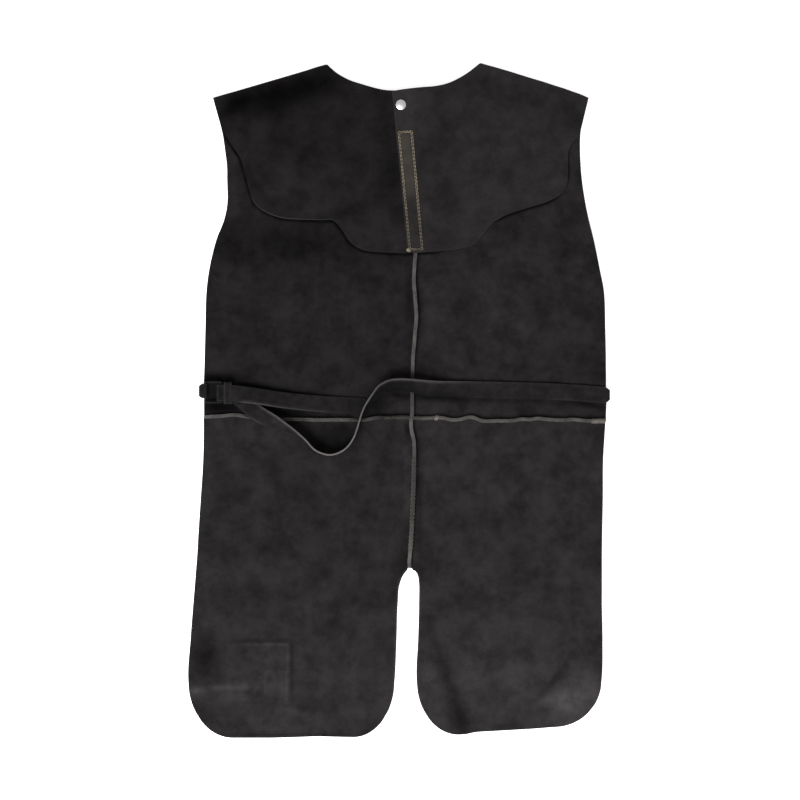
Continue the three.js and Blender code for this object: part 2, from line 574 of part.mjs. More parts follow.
// The keeper: a closed leather loop round the strap and its free end
function keeperGeometry() {
  const { low, high, under, over } = KEEPER;
  const wall = KEEPER_WALL;
  const ring = roundedRectangle(new THREE.Shape(), low, under, high, over, 2);
  ring.holes.push(roundedRectangle(
    new THREE.Path(), low + wall, under + wall, high - wall, over - wall, 0.8,
  ));
  const geometry = new THREE.ExtrudeGeometry(ring, {
    depth: KEEPER_LENGTH,
    bevelEnabled: false,
    curveSegments: 3,
  });
  const along = new THREE.Matrix4().makeBasis(
    new THREE.Vector3(0, 1, 0), new THREE.Vector3(0, 0, 1), new THREE.Vector3(1, 0, 0),
  );
  return geometry.applyMatrix4(along).translate(KEEPER_X, 0, 0);
}

// A turned piece from a table of radius and height, its axis along Z
function turned(profile) {
  const points = profile.map((row) => new THREE.Vector2(row.radius, row.height));
  return new THREE.LatheGeometry(points, 20).rotateX(Math.PI / 2);
}

// The press stud's cap, its heights measured from the top of the upper yoke
const SNAP_CAP = [
  { radius: 0, height: -3.6 },
  { radius: 4.6, height: -3.6 },
  { radius: 4.6, height: -2.1 },
  { radius: 1.9, height: -2.1 },
  { radius: 1.9, height: 0.5 },
  { radius: 7.6, height: 0.5 },
  { radius: 8.2, height: 1 },
  { radius: 7.6, height: 1.9 },
  { radius: 5, height: 3 },
  { radius: 2.4, height: 3.5 },
  { radius: 0, height: 3.6 },
];

// The press stud's lower half, its heights measured from the top of the under yoke
const SNAP_STUD = [
  { radius: 0, height: -3.1 },
  { radius: 4.6, height: -3.1 },
  { radius: 4.6, height: -2.1 },
  { radius: 1.9, height: -2.1 },
  { radius: 1.9, height: 0.4 },
  { radius: 3.6, height: 0.4 },
  { radius: 3.6, height: 0.7 },
  { radius: 0, height: 0.7 },
];

const wasm = await Module();
wasm.setup();

// A closed geometry as a solid for cutting
function solidOf(geometry) {
  const bare = geometry.clone();
  for (const name of ["normal", "uv"]) bare.deleteAttribute(name);
  const merged = mergeVertices(bare, 1e-4);
  return new wasm.Manifold(new wasm.Mesh({
    numProp: 3,
    vertProperties: new Float32Array(merged.attributes.position.array),
    triVerts: new Uint32Array(merged.index.array),
  }));
}

// A yoke half with the hole that the press stud's post goes through
function withSnapHole(geometry) {
  const drill = new THREE.CylinderGeometry(SNAP_HOLE_RADIUS, SNAP_HOLE_RADIUS, 40, 16);
  drill.rotateX(Math.PI / 2).translate(SNAP_AT.x, SNAP_AT.y, 10);
  const mesh = solidOf(geometry).subtract(solidOf(drill)).getMesh();
  const cut = new THREE.BufferGeometry();
  cut.setAttribute("position", new THREE.Float32BufferAttribute(mesh.vertProperties, 3));
  cut.setIndex([...mesh.triVerts]);
  return cut;
}

// Finishes
const suede = new THREE.MeshStandardMaterial({ color: 0x2b2a2b, roughness: 0.95, metalness: 0 });
const strapLeather = new THREE.MeshStandardMaterial({ color: 0x2e2d2e, roughness: 0.9, metalness: 0 });
const nylon = new THREE.MeshStandardMaterial({ color: 0x1f1f1f, roughness: 1, metalness: 0 });
const plastic = new THREE.MeshStandardMaterial({ color: 0x161617, roughness: 0.45, metalness: 0 });
const nickel = new THREE.MeshStandardMaterial({ color: 0xd9dadb, roughness: 0.25, metalness: 1 });

const apron = new THREE.Group();

function add(name, geometry, material) {
  geometry.computeVertexNormals();
  const mesh = new THREE.Mesh(geometry, material);
  mesh.name = name;
  apron.add(mesh);
  return mesh;
}

const legLeftRows = [...LEG_LEFT, ...hemRows(LEG_LEFT.at(-1), HEM_LEFT, 1)];
const legRightRows = [...LEG_RIGHT, ...hemRows(LEG_RIGHT.at(-1), HEM_RIGHT, -1)];
add("bib_left", frontPanel(BIB_LEFT, 1, 1), suede);
add("bib_right", frontPanel(BIB_RIGHT, -1, 1), suede);
add("leg_left", frontPanel(legLeftRows, 1, -1), suede);
add("leg_right", frontPanel(legRightRows, -1, -1), suede);
add("yoke_left", withSnapHole(yoke(YOKE_LEFT, yokeHeight)), suede);
add("yoke_right", withSnapHole(yoke(YOKE_RIGHT, upperYokeHeight)), suede);

const loopTapeRaise = (LEATHER + TAPE_THICKNESS) / 2 + GAP;
add("loop_tape", closureTape(loopTapeRaise), nylon);
add("hook_tape", closureTape(loopTapeRaise + TAPE_THICKNESS + GAP), nylon);

const underYokeTop = yokeHeight(SNAP_AT.x, SNAP_AT.y) + LEATHER / 2;
const upperYokeTop = upperYokeHeight(SNAP_AT.x, SNAP_AT.y) + LEATHER / 2;
add("snap_cap", turned(SNAP_CAP), nickel).position.set(SNAP_AT.x, SNAP_AT.y, upperYokeTop);
add("snap_stud", turned(SNAP_STUD), nickel).position.set(SNAP_AT.x, SNAP_AT.y, underYokeTop);

add("waist_strap", strapSheet(strapStations(), STRAP_WIDTH, STRAP_THICKNESS, STRAP_TIP), strapLeather);
add("buckle_tab", strapSheet(tabStations(), TAB_WIDTH, LEATHER, null), strapLeather);
add("buckle", buckleGeometry(), plastic);
add("strap_keeper", keeperGeometry(), strapLeather);

export default apron;
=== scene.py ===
import bpy
import numpy as np
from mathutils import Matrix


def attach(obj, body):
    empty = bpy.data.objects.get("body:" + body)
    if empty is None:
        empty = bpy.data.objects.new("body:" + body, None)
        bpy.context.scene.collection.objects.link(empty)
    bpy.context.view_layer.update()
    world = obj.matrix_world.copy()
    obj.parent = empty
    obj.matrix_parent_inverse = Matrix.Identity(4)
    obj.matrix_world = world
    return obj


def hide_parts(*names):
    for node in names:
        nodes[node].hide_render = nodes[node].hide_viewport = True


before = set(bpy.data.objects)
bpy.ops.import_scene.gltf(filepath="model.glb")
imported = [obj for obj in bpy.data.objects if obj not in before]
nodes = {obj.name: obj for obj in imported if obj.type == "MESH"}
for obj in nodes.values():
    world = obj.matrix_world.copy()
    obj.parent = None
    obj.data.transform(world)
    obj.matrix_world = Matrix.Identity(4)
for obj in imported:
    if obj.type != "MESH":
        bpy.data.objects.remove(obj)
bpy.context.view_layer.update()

# The apron lies on its front on a white light table and is seen from straight above through a long lens.
# One broad lamp stands beyond its hem, a little to the left, so that seams and the standing strap
# throw shade towards the neck, and a little light comes evenly from all round.
VIEW_X = 0.0016
VIEW_Y = 0.0008
VIEW_HEIGHT = 6.0
VIEW_WIDTH = 1.264
camera = bpy.data.objects.new("camera", bpy.data.cameras.new("camera"))
camera.location = (VIEW_X, VIEW_Y, VIEW_HEIGHT)
camera.data.angle = 2 * np.arctan(VIEW_WIDTH / 2 / VIEW_HEIGHT)
bpy.context.scene.collection.objects.link(camera)
bpy.context.scene.camera = camera
bpy.context.scene.view_settings.view_transform = "Standard"

world = bpy.data.worlds.new("studio")
world.use_nodes = True
background = world.node_tree.nodes["Background"]
background.inputs["Color"].default_value = (1.0, 1.0, 1.0, 1.0)
background.inputs["Strength"].default_value = 0.46
bpy.context.scene.world = world

lamp = bpy.data.objects.new("lamp", bpy.data.lights.new("lamp", "AREA"))
lamp.data.size = 2.2
lamp.data.energy = 220
lamp.location = (-1.2, -2.0, 2.5)
lamp.rotation_euler = (-lamp.location).to_track_quat("-Z", "Y").to_euler()
bpy.context.scene.collection.objects.link(lamp)

PAPER_HALF = 5.0
PAPER_DROP = 0.0004
paper = bpy.data.materials.new("white_paper")
paper.use_nodes = True
paper_shader = paper.node_tree.nodes["Principled BSDF"]
paper_shader.inputs["Base Color"].default_value = (0.93, 0.93, 0.93, 1.0)
paper_shader.inputs["Roughness"].default_value = 0.9
paper_shader.inputs["Emission Color"].default_value = (1.0, 1.0, 1.0, 1.0)
paper_shader.inputs["Emission Strength"].default_value = 0.7
sheet_corners = PAPER_HALF * np.array([(-1, -1), (1, -1), (1, 1), (-1, 1)])
sheet_points = np.column_stack([sheet_corners, np.full(4, -PAPER_DROP)])
sheet_mesh = bpy.data.meshes.new("paper_sheet")
sheet_mesh.from_pydata(sheet_points.tolist(), [], [(0, 1, 2, 3)])
sheet_mesh.materials.append(paper)
paper_sheet = bpy.data.objects.new("paper_sheet", sheet_mesh)
bpy.context.scene.collection.objects.link(paper_sheet)


# The front is cut from charcoal split cowhide with a matt nap on both faces: two bib halves and two
# legs. Each is sewn face to face to its neighbours, so its raw edge stands up along the centre seam
# and along the waist, and shows the paler core of the hide.
MM = 0.001
LEATHER = 1.6
EDGE_ROUND = 0.45  # how far cut edges are rounded
OUTLINE_PALE = 0.22  # how much of the hide's core shows along its outline
HIDE_CORE = (0.060, 0.057, 0.055)
STAIN_BROWN = (0.058, 0.050, 0.042)
BEND = 2.0  # radius at which a panel turns up into a seam
SEAM_HALF = 0.8  # from a seam's line to the middle of each raw edge
FLUFFED = 3.0  # thickness of a raw edge along a seam
WEST_LEAN = 0.2  # how much further the left panels' raw edge leans at the centre seam
CENTRE_SHIFT = 9  # how far the waves of the two raw edges are out of step at the centre seam
WAIST_SHIFT = 7  # and at the waist
YOKE_EASE = 5.0  # how far the shade under the yoke draws back where the yoke lies close
ROW_STEP = 4.5  # between the rows of points along a panel
EDGE_ROWS = (4.0, 1.4, 0.5, 0.0)  # how far from the far edge of a panel its last rows lie
EDGE_SHARES = (0.0, 0.0016, 0.0045, 0.012)  # how far across it, as shares, its first columns lie
CORNER_ROWS = 3  # rows of a leg that go down to the middle of its corners
WAIST_EASE = 16.0  # how far from the waist seam the rows of a panel still follow its line
SIDE_LEFT = -308.0  # the sides at the waist
SIDE_RIGHT = 327.0
STRAP_Y = 13.0  # the strap's fixed end and the buckle's tab lie under the sides at this height
STRAP_LIFT = 2.8  # how far they lift the sides
LIFT_INWARD = (46, 80)  # where the lift begins and ends to fade towards the middle
LIFT_ALONG = (20, 38)  # and along the sides
FOLD_SKIRT = 0.2  # folds lower than this lie flat
PRESSED_MARK = (-0.2248, -0.4306, 0.0499, 0.0458)  # middle and half sizes in metres
SMALL_MARK = (-0.1945, -0.4520, 0.0165, 0.0240)


class Wire:
    """One output of a material's nodes. Arithmetic on wires adds Math nodes to the material."""

    def __init__(self, tree, socket=None):
        self.tree = tree
        self.socket = socket

    def node(self, kind, settings=None, inputs=None, output=0):
        """Adds a node, makes its settings, fills its inputs with values or wires, and wires one output."""
        made = self.tree.nodes.new(kind)
        for name, value in (settings or {}).items():
            setattr(made, name, value)
        for name, value in (inputs or {}).items():
            if isinstance(value, Wire):
                self.tree.links.new(value.socket, made.inputs[name])
            else:
                made.inputs[name].default_value = value
        return Wire(self.tree, made.outputs[output])

    def feed(self, shader, name):
        """Links this wire to one of a shader's sockets."""
        self.tree.links.new(self.socket, shader.inputs[name])

    def math(self, operation, first, second=0.0):
        """A Math node on two values or wires."""
        return self.node("ShaderNodeMath", {"operation": operation}, {0: first, 1: second})

    def __add__(self, other):
        return self.math("ADD", self, other)

    def __radd__(self, other):
        return self.math("ADD", other, self)

    def __sub__(self, other):
        return self.math("SUBTRACT", self, other)

    def __rsub__(self, other):
        return self.math("SUBTRACT", other, self)

    def __mul__(self, other):
        return self.math("MULTIPLY", self, other)

    def __rmul__(self, other):
        return self.math("MULTIPLY", other, self)

    def __abs__(self):
        return self.math("ABSOLUTE", self)

    def noise(self, scale, detail, roughness):
        """Cloudy noise at a number of features per metre, read at this wire's place."""
        inputs = {"Vector": self, "Scale": scale, "Detail": detail, "Roughness": roughness}
        return self.node("ShaderNodeTexNoise", {}, inputs)

    def between(self, low, high):
        """0 at low, 1 at high and a smooth climb from one to the other."""
        inputs = {"Value": self, "From Min": low, "From Max": high}
        return self.node("ShaderNodeMapRange", {"interpolation_type": "SMOOTHSTEP"}, inputs)

    def mix(self, first, second):
        """A colour from first to second as this wire goes from 0 to 1. Each is a wire or three numbers."""
        start, end = (tone if isinstance(tone, Wire) else (*tone, 1.0) for tone in (first, second))
        return self.node("ShaderNodeMix", {"data_type": "RGBA"}, {0: self, 6: start, 7: end}, 2)

    def scaled(self, share):
        """This wire's colour times a value or a wire."""
        return self.node("ShaderNodeVectorMath", {"operation": "SCALE"}, {0: self, "Scale": share})

    def axis(self, number):
        """One of the three numbers of this wire's place."""
        return self.node("ShaderNodeSeparateXYZ", {}, {0: self}, number)


def start_material(name):
    """A node material, its shader and a wire that carries the object's own coordinates."""
    material = bpy.data.materials.new(name)
    material.use_nodes = True
    place = Wire(material.node_tree).node("ShaderNodeTexCoord", output=3)
    return material, material.node_tree.nodes["Principled BSDF"], place


def attribute(place, name):
    """A wire that carries a value kept at the piece's points."""
    return place.node("ShaderNodeAttribute", {"attribute_name": name}, output=2)


def apply_finish(shader, colour, height, strength, depth, roughness, gloss=0.5):
    """Feeds a shader its colour and a bump from a height, of a strength and a depth in metres, and gives
    it its gloss and its roughness, which is a number or a wire."""
    bump = colour.node("ShaderNodeBump", {}, {"Strength": strength, "Distance": depth, "Height": height})
    colour.feed(shader, "Base Color")
    bump.feed(shader, "Normal")
    shader.inputs["Specular IOR Level"].default_value = gloss
    if isinstance(roughness, Wire):
        roughness.feed(shader, "Roughness")
    else:
        shader.inputs["Roughness"].default_value = roughness


def outside_box(place, x, y, half_width, half_height):
    """How far a place lies outside an upright rectangle, less than 0 within it."""
    return place.math("MAXIMUM", abs(place.axis(0) - x) - half_width, abs(place.axis(1) - y) - half_height)


def suede(name, albedo, contrast, pressed_mark=False, shade_under_yoke=False, marked=True):
    """Napped split leather: cloudy, mottled and napped noise pick a tone about the albedo, within the
    share of it that contrast gives. On a marked face the piece's tone attribute darkens or lightens
    that, with the nap's own tone and with painted shade and light. Its stain attribute browns it, and
    its rim attribute bares the paler core of the hide. Under the yoke it is darkened with painted shade
    towards the yoke's loose lower edge. A pressed mark is a flat, pale rectangle with a smaller one in
    its corner. The small one has a paler outline; along the large one's upper and right sides run a
    painted highlight and, just outside it, painted shade."""
    material, shader, place = start_material(name)
    cloud = place.noise(24.0, 3.0, 0.55)
    mottle = place.noise(75.0, 5.0, 0.66)
    nap = place.noise(620.0, 3.0, 0.7)
    level = (cloud * 0.95 + mottle * 0.55 + nap * 0.32).between(0.57, 1.25)
    height = cloud * 0.9 + mottle * 0.58 + nap * 0.22
    tone = attribute(place, "tone") if marked else 1.0
    if shade_under_yoke:
        # painted shade under the yoke's loose lower edge, patchy with the cloud noise
        hem_shade = 1.0 - attribute(place, "hem_away").between(0.0008, 0.0075)
        tone = tone * (1.0 - hem_shade * (0.4 + cloud * 0.7))
    if pressed_mark:
        outside = outside_box(place, *PRESSED_MARK)
        small_outside = outside_box(place, *SMALL_MARK)
        rightward, upward = place.axis(0) - PRESSED_MARK[0], place.axis(1) - PRESSED_MARK[1]
        upper_right = (rightward + upward).between(-0.02, 0.06)
        # painted highlight along the large outline's upper and right sides
        line = (1.0 - abs(outside).between(0.0008, 0.0042)) * upper_right
        small_line = 1.0 - abs(small_outside).between(0.0006, 0.0030)
        flat = 1.0 - outside.between(-0.003, 0.001)
        # painted shade just outside the large outline's upper and right sides
        beside = (1.0 - abs(outside - 0.006).between(0.0, 0.005)) * upper_right
        tone = tone + (line * 0.4 + small_line * 0.25) * (0.3 + mottle) + flat * 0.15 - beside * 0.22
        height = height + line * 0.5 - flat * 0.3
    dark = tuple((1 - contrast) * c for c in albedo)
    light = tuple((1 + contrast) * c for c in albedo)
    toned = level.mix(dark, light).scaled(tone)
    stained = (attribute(place, "stain") * (0.5 + mottle)).mix(toned, STAIN_BROWN)
    bare = attribute(place, "rim") * (0.55 + mottle * 0.8)
    apply_finish(shader, bare.mix(stained, HIDE_CORE), height, 0.55, 0.0022, 0.95, 0.0)
    return material


def raw_edge(name, core, surface):
    """The cut through the hide: a fibrous core in patches, pale where the rim attribute is 1 and as dark
    as the hide's surface where it is 0."""
    material, shader, place = start_material(name)
    fibre = place.noise(450.0, 4.0, 0.7)
    patch = place.noise(70.0, 2.0, 0.6)
    level = (fibre * 0.7 + patch * 0.9).between(0.45, 1.1)
    dull = tuple(0.45 * c for c in core)
    colour = attribute(place, "rim").mix(surface, level.mix(dull, core))
    apply_finish(shader, colour, fibre, 0.5, 0.0006, 0.95, 0.0)
    return material


def add_piece(name, points, faces, materials, values=None):
    """A mesh piece from points in millimetres, its faces, its materials and values kept at its points."""
    mesh = bpy.data.meshes.new(name)
    mesh.from_pydata((np.asarray(points).reshape(-1, 3) * MM).tolist(), [], np.asarray(faces).tolist())
    for key, numbers in (values or {}).items():
        layer = mesh.attributes.new(key, "FLOAT", "POINT")
        layer.data.foreach_set("value", np.asarray(numbers, dtype=np.float32).ravel())
    mesh.polygons.foreach_set("use_smooth", np.ones(len(mesh.polygons), dtype=bool))
    for material in materials:
        mesh.materials.append(material)
    piece = bpy.data.objects.new(name, mesh)
    bpy.context.scene.collection.objects.link(piece)
    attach(piece, "root")
    return piece


def thicken(piece, thickness):
    """Gives a sheet its thickness about its middle, a rim of its second material and rounded edges."""
    wall = piece.modifiers.new("thickness", "SOLIDIFY")
    wall.thickness = thickness * MM
    wall.offset = 0.0
    wall.use_even_offset = True
    wall.use_quality_normals = True
    wall.material_offset_rim = 1
    edge = piece.modifiers.new("rounded_edge", "BEVEL")
    edge.width = EDGE_ROUND * MM
    edge.segments = 2
    edge.limit_method = "ANGLE"
    edge.angle_limit = np.radians(50)
    edge.harden_normals = True
    return wall


def grid_faces(rows, columns, keep=None):
    """Quads between neighbouring points of a grid, less the cells that keep marks False."""
    index = np.arange(rows * columns).reshape(rows, columns)
    quads = np.stack([index[:-1, :-1], index[:-1, 1:], index[1:, 1:], index[1:, :-1]], axis=-1)
    return quads.reshape(-1, 4) if keep is None else quads[keep]


def smooth_line(table, places):
    """A smooth line through the rows of a table, at places given in steps of its first column.
    Between two rows it is the cubic that leaves and meets them at their mean slopes."""
    rows = np.asarray(table, dtype=float)
    run = rows[:, 0]
    slope = np.gradient(rows, run, axis=0)
    k = np.clip(np.searchsorted(run, places, side="right") - 1, 0, len(run) - 2)
    step = (run[k + 1] - run[k])[:, None]
    w = ((places - run[k]) / step[:, 0])[:, None]
    start = (1 + 2 * w) * (1 - w) ** 2 * rows[k] + w * (1 - w) ** 2 * step * slope[k]
    return start + w**2 * (3 - 2 * w) * rows[k + 1] - w**2 * (1 - w) * step * slope[k + 1]


def smoothstep(value, low, high):
    """0 up to low, 1 from high, and the cubic 3t^2 - 2t^3 between them."""
    t = np.clip((value - low) / (high - low), 0.0, 1.0)
    return t * t * (3 - 2 * t)


def travel(points):
    """Distance along a line from its first point to each of its points."""
    return np.concatenate([[0.0], np.cumsum(np.linalg.norm(np.diff(points, axis=0), axis=1))])


def run_along(sections):
    """Distance from the first section to each: half of what their first and second ends travel."""
    return (travel(sections[:, :2]) + travel(sections[:, 2:4])) / 2


def between_ends(sections, share):
    """Places at shares of the way along straight sections from their first to their second ends."""
    x = sections[:, [0]] * (1 - share) + sections[:, [2]] * share
    y = sections[:, [1]] * (1 - share) + sections[:, [3]] * share
    return x, y


# what a seam's table holds after the distance along it: its place, its raw edges' height and paleness,
# which is partly painted light and shade
PLACE = 1
TOP = 2
PALE = 3


def seam_at(seam, along, figure):
    """One figure of a seam's table at distances along it."""
    return np.interp(along, seam[:, 0], seam[:, figure])


# centre seam: height along the apron, place across it, height of its raw edges, how pale they are,
# set to how bright they look and so partly painted light and shade
CENTRE_SEAM = smooth_line(
    [
        (-270, 17, 6, 1.0),
        (-251, 16.6, 6, 1.0),
        (-230, 18.4, 6.5, 0.7),
        (-205, 20.2, 7, 0.48),
        (-160, 22, 7, 0.36),
        (-126, 23.4, 7.5, 0.34),
        (-94, 24, 8, 0.42),
        (-72, 24.2, 8, 0.55),
        (-62, 23.4, 8, 0.7),
        (-54, 21.4, 8, 0.85),
        (-46, 19.7, 8, 0.9),
        (-36, 19.3, 8, 0.8),
        (-24, 20.6, 8, 0.5),
        (-12, 21, 8, 0.45),
        (8, 21, 5, 0.42),
        (38, 21.5, 5, 0.5),
        (62, 22, 8, 0.7),
        (96, 24.5, 9, 0.74),
        (134, 27.5, 9, 0.74),
        (168, 25, 9, 0.7),
        (195, 23.5, 9, 0.75),
        (230, 26, 9, 0.75),
        (330, 25, 9, 0.6),
        (430, 24, 9, 0.6),
    ],
    np.linspace(-270, 430, 700),
)

# waist seam: place across the apron, height along it, height of its raw edges, how pale they are,
# set to how bright they look and so partly painted light and shade
WAIST_SEAM = smooth_line(
    [
        (-335, -27, 6, 1.0),
        (-306, -26, 6, 0.85),
        (-280, -24.5, 6.5, 0.66),
        (-262, -22.8, 6, 0.62),
        (-246, -24.5, 5, 0.6),
        (-236, -26.5, 3, 0.4),
        (-217, -30, 3, 0.3),
        (-188, -30, 3, 0.5),
        (-178, -29.8, 6, 0.7),
        (-165, -29.8, 7, 0.7),
        (-150, -30.2, 7, 0.58),
        (-125, -30.8, 7, 0.6),
        (-95, -30.4, 7, 0.6),
        (-78, -30.6, 7, 0.6),
        (-71, -30.6, 4.2, 0.5),
        (-53, -30.4, 4.2, 0.5),
        (-46, -29, 6.5, 0.6),
        (-34, -27.2, 7, 0.25),
        (-22, -27.2, 7, 0.03),
        (4, -26.4, 7, 0.08),
        (40, -28, 6, 0.3),
        (69, -27.5, 6, 0.6),
        (82, -30.5, 6, 0.7),
        (98, -29.5, 6, 0.7),
        (110, -26.5, 6.5, 0.65),
        (118, -27, 6.5, 0.7),
        (128, -31, 6.5, 0.62),
        (160, -32, 7, 0.75),
        (183, -31.5, 7, 0.7),
        (193, -29.5, 7, 0.65),
        (207, -30, 7, 0.7),
        (217, -28.5, 7, 0.75),
        (231, -29.5, 7, 0.7),
        (262, -31, 7, 0.7),
        (275, -30, 7, 0.75),
        (294, -32, 7, 0.7),
        (335, -32, 7, 0.7),
    ],
    np.linspace(-335, 335, 700),
)

# low folds of the panels: place, direction, half length, half width, height
FLOOR_FOLDS = [
    (52, -440, -72, 75, 20, 6.0),
    (-270, -452, 6, 50, 16, 3.5),
    (240, -452, 40, 34, 18, 3.5),
    (300, 250, 70, 50, 22, 3.0),
]


def bells(x, y, marks):
    """Sum of slanted bells: each mark's strength times a bell along and a bell across its direction."""
    total = np.zeros_like(x)
    for px, py, angle, length, width, strength in marks:
        c, s = np.cos(np.radians(angle)), np.sin(np.radians(angle))
        along = (x - px) * c + (y - py) * s
        across = (y - py) * c - (x - px) * s
        total = total + strength * np.exp(-((along / length) ** 2) - (across / width) ** 2)
    return total


def ridges(x, y, folds):
    """Height of long round-backed folds: the sum of their bells, less their flat skirts."""
    return np.maximum(0.0, bells(x, y, folds) - FOLD_SKIRT)


def floor_height(x, y):
    """Middle of a panel on the floor: half its thickness, the strap ends under its sides, and its folds."""
    inward = np.minimum(x - SIDE_LEFT, SIDE_RIGHT - x)
    over_end = (1 - smoothstep(inward, *LIFT_INWARD)) * (1 - smoothstep(np.abs(y - STRAP_Y), *LIFT_ALONG))
    return LEATHER / 2 + STRAP_LIFT * over_end + ridges(x, y, FLOOR_FOLDS)


def nap_tone_shade_and_light(x, y, marks):
    """Tone of the nap with painted shade and light: e to the power of the sum of its marks' bells,
    so 1 where there are none.
    """
    return np.exp(bells(x, y, marks))


def splay(along):
    """How far a raw edge leans off its seam, in millimetres: two slow waves about a mean."""
    return 0.45 + 0.15 * np.sin(0.17 * along) + 0.1 * np.sin(0.41 * along + 1)


def distance_to(x, y, line):
    """Distance in plan from each point to the nearest of the straight stretches of a line."""
    here = np.stack([x, y], axis=-1)[..., None, :]
    starts, steps = line[:-1], np.diff(line, axis=0)
    share = np.clip(((here - starts) * steps).sum(-1) / (steps * steps).sum(-1), 0.0, 1.0)
    return np.linalg.norm(here - starts - share[..., None] * steps, axis=-1).min(axis=-1)


def lies_close(x):
    """1 where the painted shade under the yoke's loose edge draws back, as the edge lies close on the bib:
    right of the closure and at the right side.
    """
    return smoothstep(x, 55, 80) * (1 - smoothstep(x, 140, 165)) + smoothstep(x, 245, 262)


def front_panel(name, rows, toward, up, marks, materials, hem=None, yoke=None):
    """A panel of the front. Rows are (side x, side y, inner x or None, inner y): each is straight from
    the side to the inner edge, and both edges are smooth lines through the rows. Where inner x is None
    the row ends at the centre seam. There, and along the first row at the waist, the sheet turns up
    through a quarter circle and stands to the height of the seam's raw edge, fluffed thicker towards
    its top. With a hem, the rows round the corners bend evenly from straight to the hem's curve. With a
    yoke, each point keeps its distance from the yoke's lower edge. The outside is the third material."""
    inset = BEND + SEAM_HALF
    sewn_rows = np.array([row[2] is None for row in rows])
    table = np.array([(row[0], row[1], row[2] or 0.0, row[3]) for row in rows], dtype=float)
    on_seam = seam_at(CENTRE_SEAM, table[:, 3], PLACE) - toward * inset
    table[:, 2] = np.where(sewn_rows, on_seam, table[:, 2])
    run = run_along(table)
    end = run[-1]
    places = np.concatenate([np.arange(0.0, end - 5.0, ROW_STEP), end - np.array(EDGE_ROWS)])
    edges = smooth_line(np.column_stack([run, table]), places)[:, 1:]
    sewn = places <= run[sewn_rows].max() + 0.01
    follow = seam_at(CENTRE_SEAM, edges[:, 3], PLACE) - toward * inset
    edges[:, 2] = np.where(sewn, follow, edges[:, 2])

    share = np.concatenate([EDGE_SHARES, np.linspace(0.03, 1.0, 66)])
    x, y = between_ends(edges, share)
    if hem is not None:
        reach = travel(hem) / travel(hem)[-1]
        corner = run[-1 - CORNER_ROWS]
        fall = np.clip((places - corner) / (end - corner), 0.0, 1.0)[:, None]
        x = x + fall * (np.interp(share, reach, hem[:, 0]) - x[-1])
        y = y + fall * (np.interp(share, reach, hem[:, 1]) - y[-1])
    waist = seam_at(WAIST_SEAM, x[0], PLACE) + up * inset
    y = y + (waist - y[0]) * (1 - smoothstep(places, 0.0, WAIST_EASE))[:, None]
    z = floor_height(x, y)

    turn = np.radians([22.5, 45, 67.5, 90])
    climb = np.array([0.4, 0.8, 1.0])
    upright = np.full(len(climb), np.pi / 2)
    standing = len(turn) + len(climb)
    bend_column = np.concatenate([np.zeros(len(share)), turn, upright])
    climb_column = np.concatenate([np.zeros(len(share) + len(turn)), climb])
    bend_row = np.concatenate([upright, turn[::-1], np.zeros(len(places))])
    climb_row = np.concatenate([climb[::-1], np.zeros(len(turn) + len(places))])
    row_of = np.maximum(np.arange(len(bend_row)) - standing, 0)
    column_of = np.minimum(np.arange(len(bend_column)), len(share) - 1)
    pick = np.ix_(row_of, column_of)
    x = x[pick] + toward * BEND * np.sin(bend_column)
    y = y[pick] - up * BEND * np.sin(bend_row)[:, None]
    z = z[pick] + BEND * (1 - np.cos(bend_row)[:, None] * np.cos(bend_column))
    z = z + np.maximum(0.0, seam_at(CENTRE_SEAM, y, TOP) - z) * climb_column
    z = z + np.maximum(0.0, seam_at(WAIST_SEAM, x, TOP) - z) * climb_row[:, None]
    lean = splay(y + CENTRE_SHIFT * toward) + (WEST_LEAN if toward > 0 else 0.0)
    x = x - toward * lean * climb_column
    y = y + up * splay(x + WAIST_SHIFT * up) * climb_row[:, None]

    rim = np.zeros_like(x)
    rim[:, :2] = OUTLINE_PALE
    rim[-2:] = OUTLINE_PALE
    stands = np.arange(len(bend_column)) >= len(share)
    centre_pale = seam_at(CENTRE_SEAM, y, PALE) * climb_column**3
    waist_pale = seam_at(WAIST_SEAM, x, PALE) * climb_row[:, None] ** 3
    rim[:, stands] = centre_pale[:, stands]
    rim[climb_row > 0] = waist_pale[climb_row > 0]
    free_row = ~np.concatenate([np.ones(standing, dtype=bool), sewn])
    rim[np.ix_(free_row, column_of == len(share) - 1)] = OUTLINE_PALE

    here = ~(free_row[:, None] & stands)
    keep = here[:-1, :-1] & here[:-1, 1:] & here[1:, 1:] & here[1:, :-1]
    keep &= ~((climb_row[:-1] > 0)[:, None] & (climb_column[1:] > 0))
    faces = grid_faces(len(row_of), len(column_of), keep)
    faces = faces if toward * up > 0 else faces[:, ::-1]
    used, packed = np.unique(faces, return_inverse=True)
    points = np.stack([x, y, z], axis=-1).reshape(-1, 3)[used]
    values = {"tone": nap_tone_shade_and_light(x, y, marks).ravel()[used], "rim": rim.ravel()[used]}
    if yoke is not None:
        # distance from the yoke's loose lower edge, by which the bib's material paints shade under it
        away = distance_to(x, y, np.array(yoke)[:, :2]) + YOKE_EASE * lies_close(x)
        values["hem_away"] = away.ravel()[used] * MM
    piece = add_piece(name, points, packed.reshape(-1, 4), materials, values)
    wall = thicken(piece, FLUFFED)
    wall.material_offset = 2
    stood = np.maximum(climb_column, climb_row[:, None]).ravel()[used]
    fluff = piece.vertex_groups.new(name="fluff")
    for level in (0.0, *climb):
        weight = (LEATHER + (FLUFFED - LEATHER) * level) / FLUFFED
        fluff.add(np.flatnonzero(stood == level).tolist(), weight, "REPLACE")
    wall.vertex_group = fluff.name
    return piece


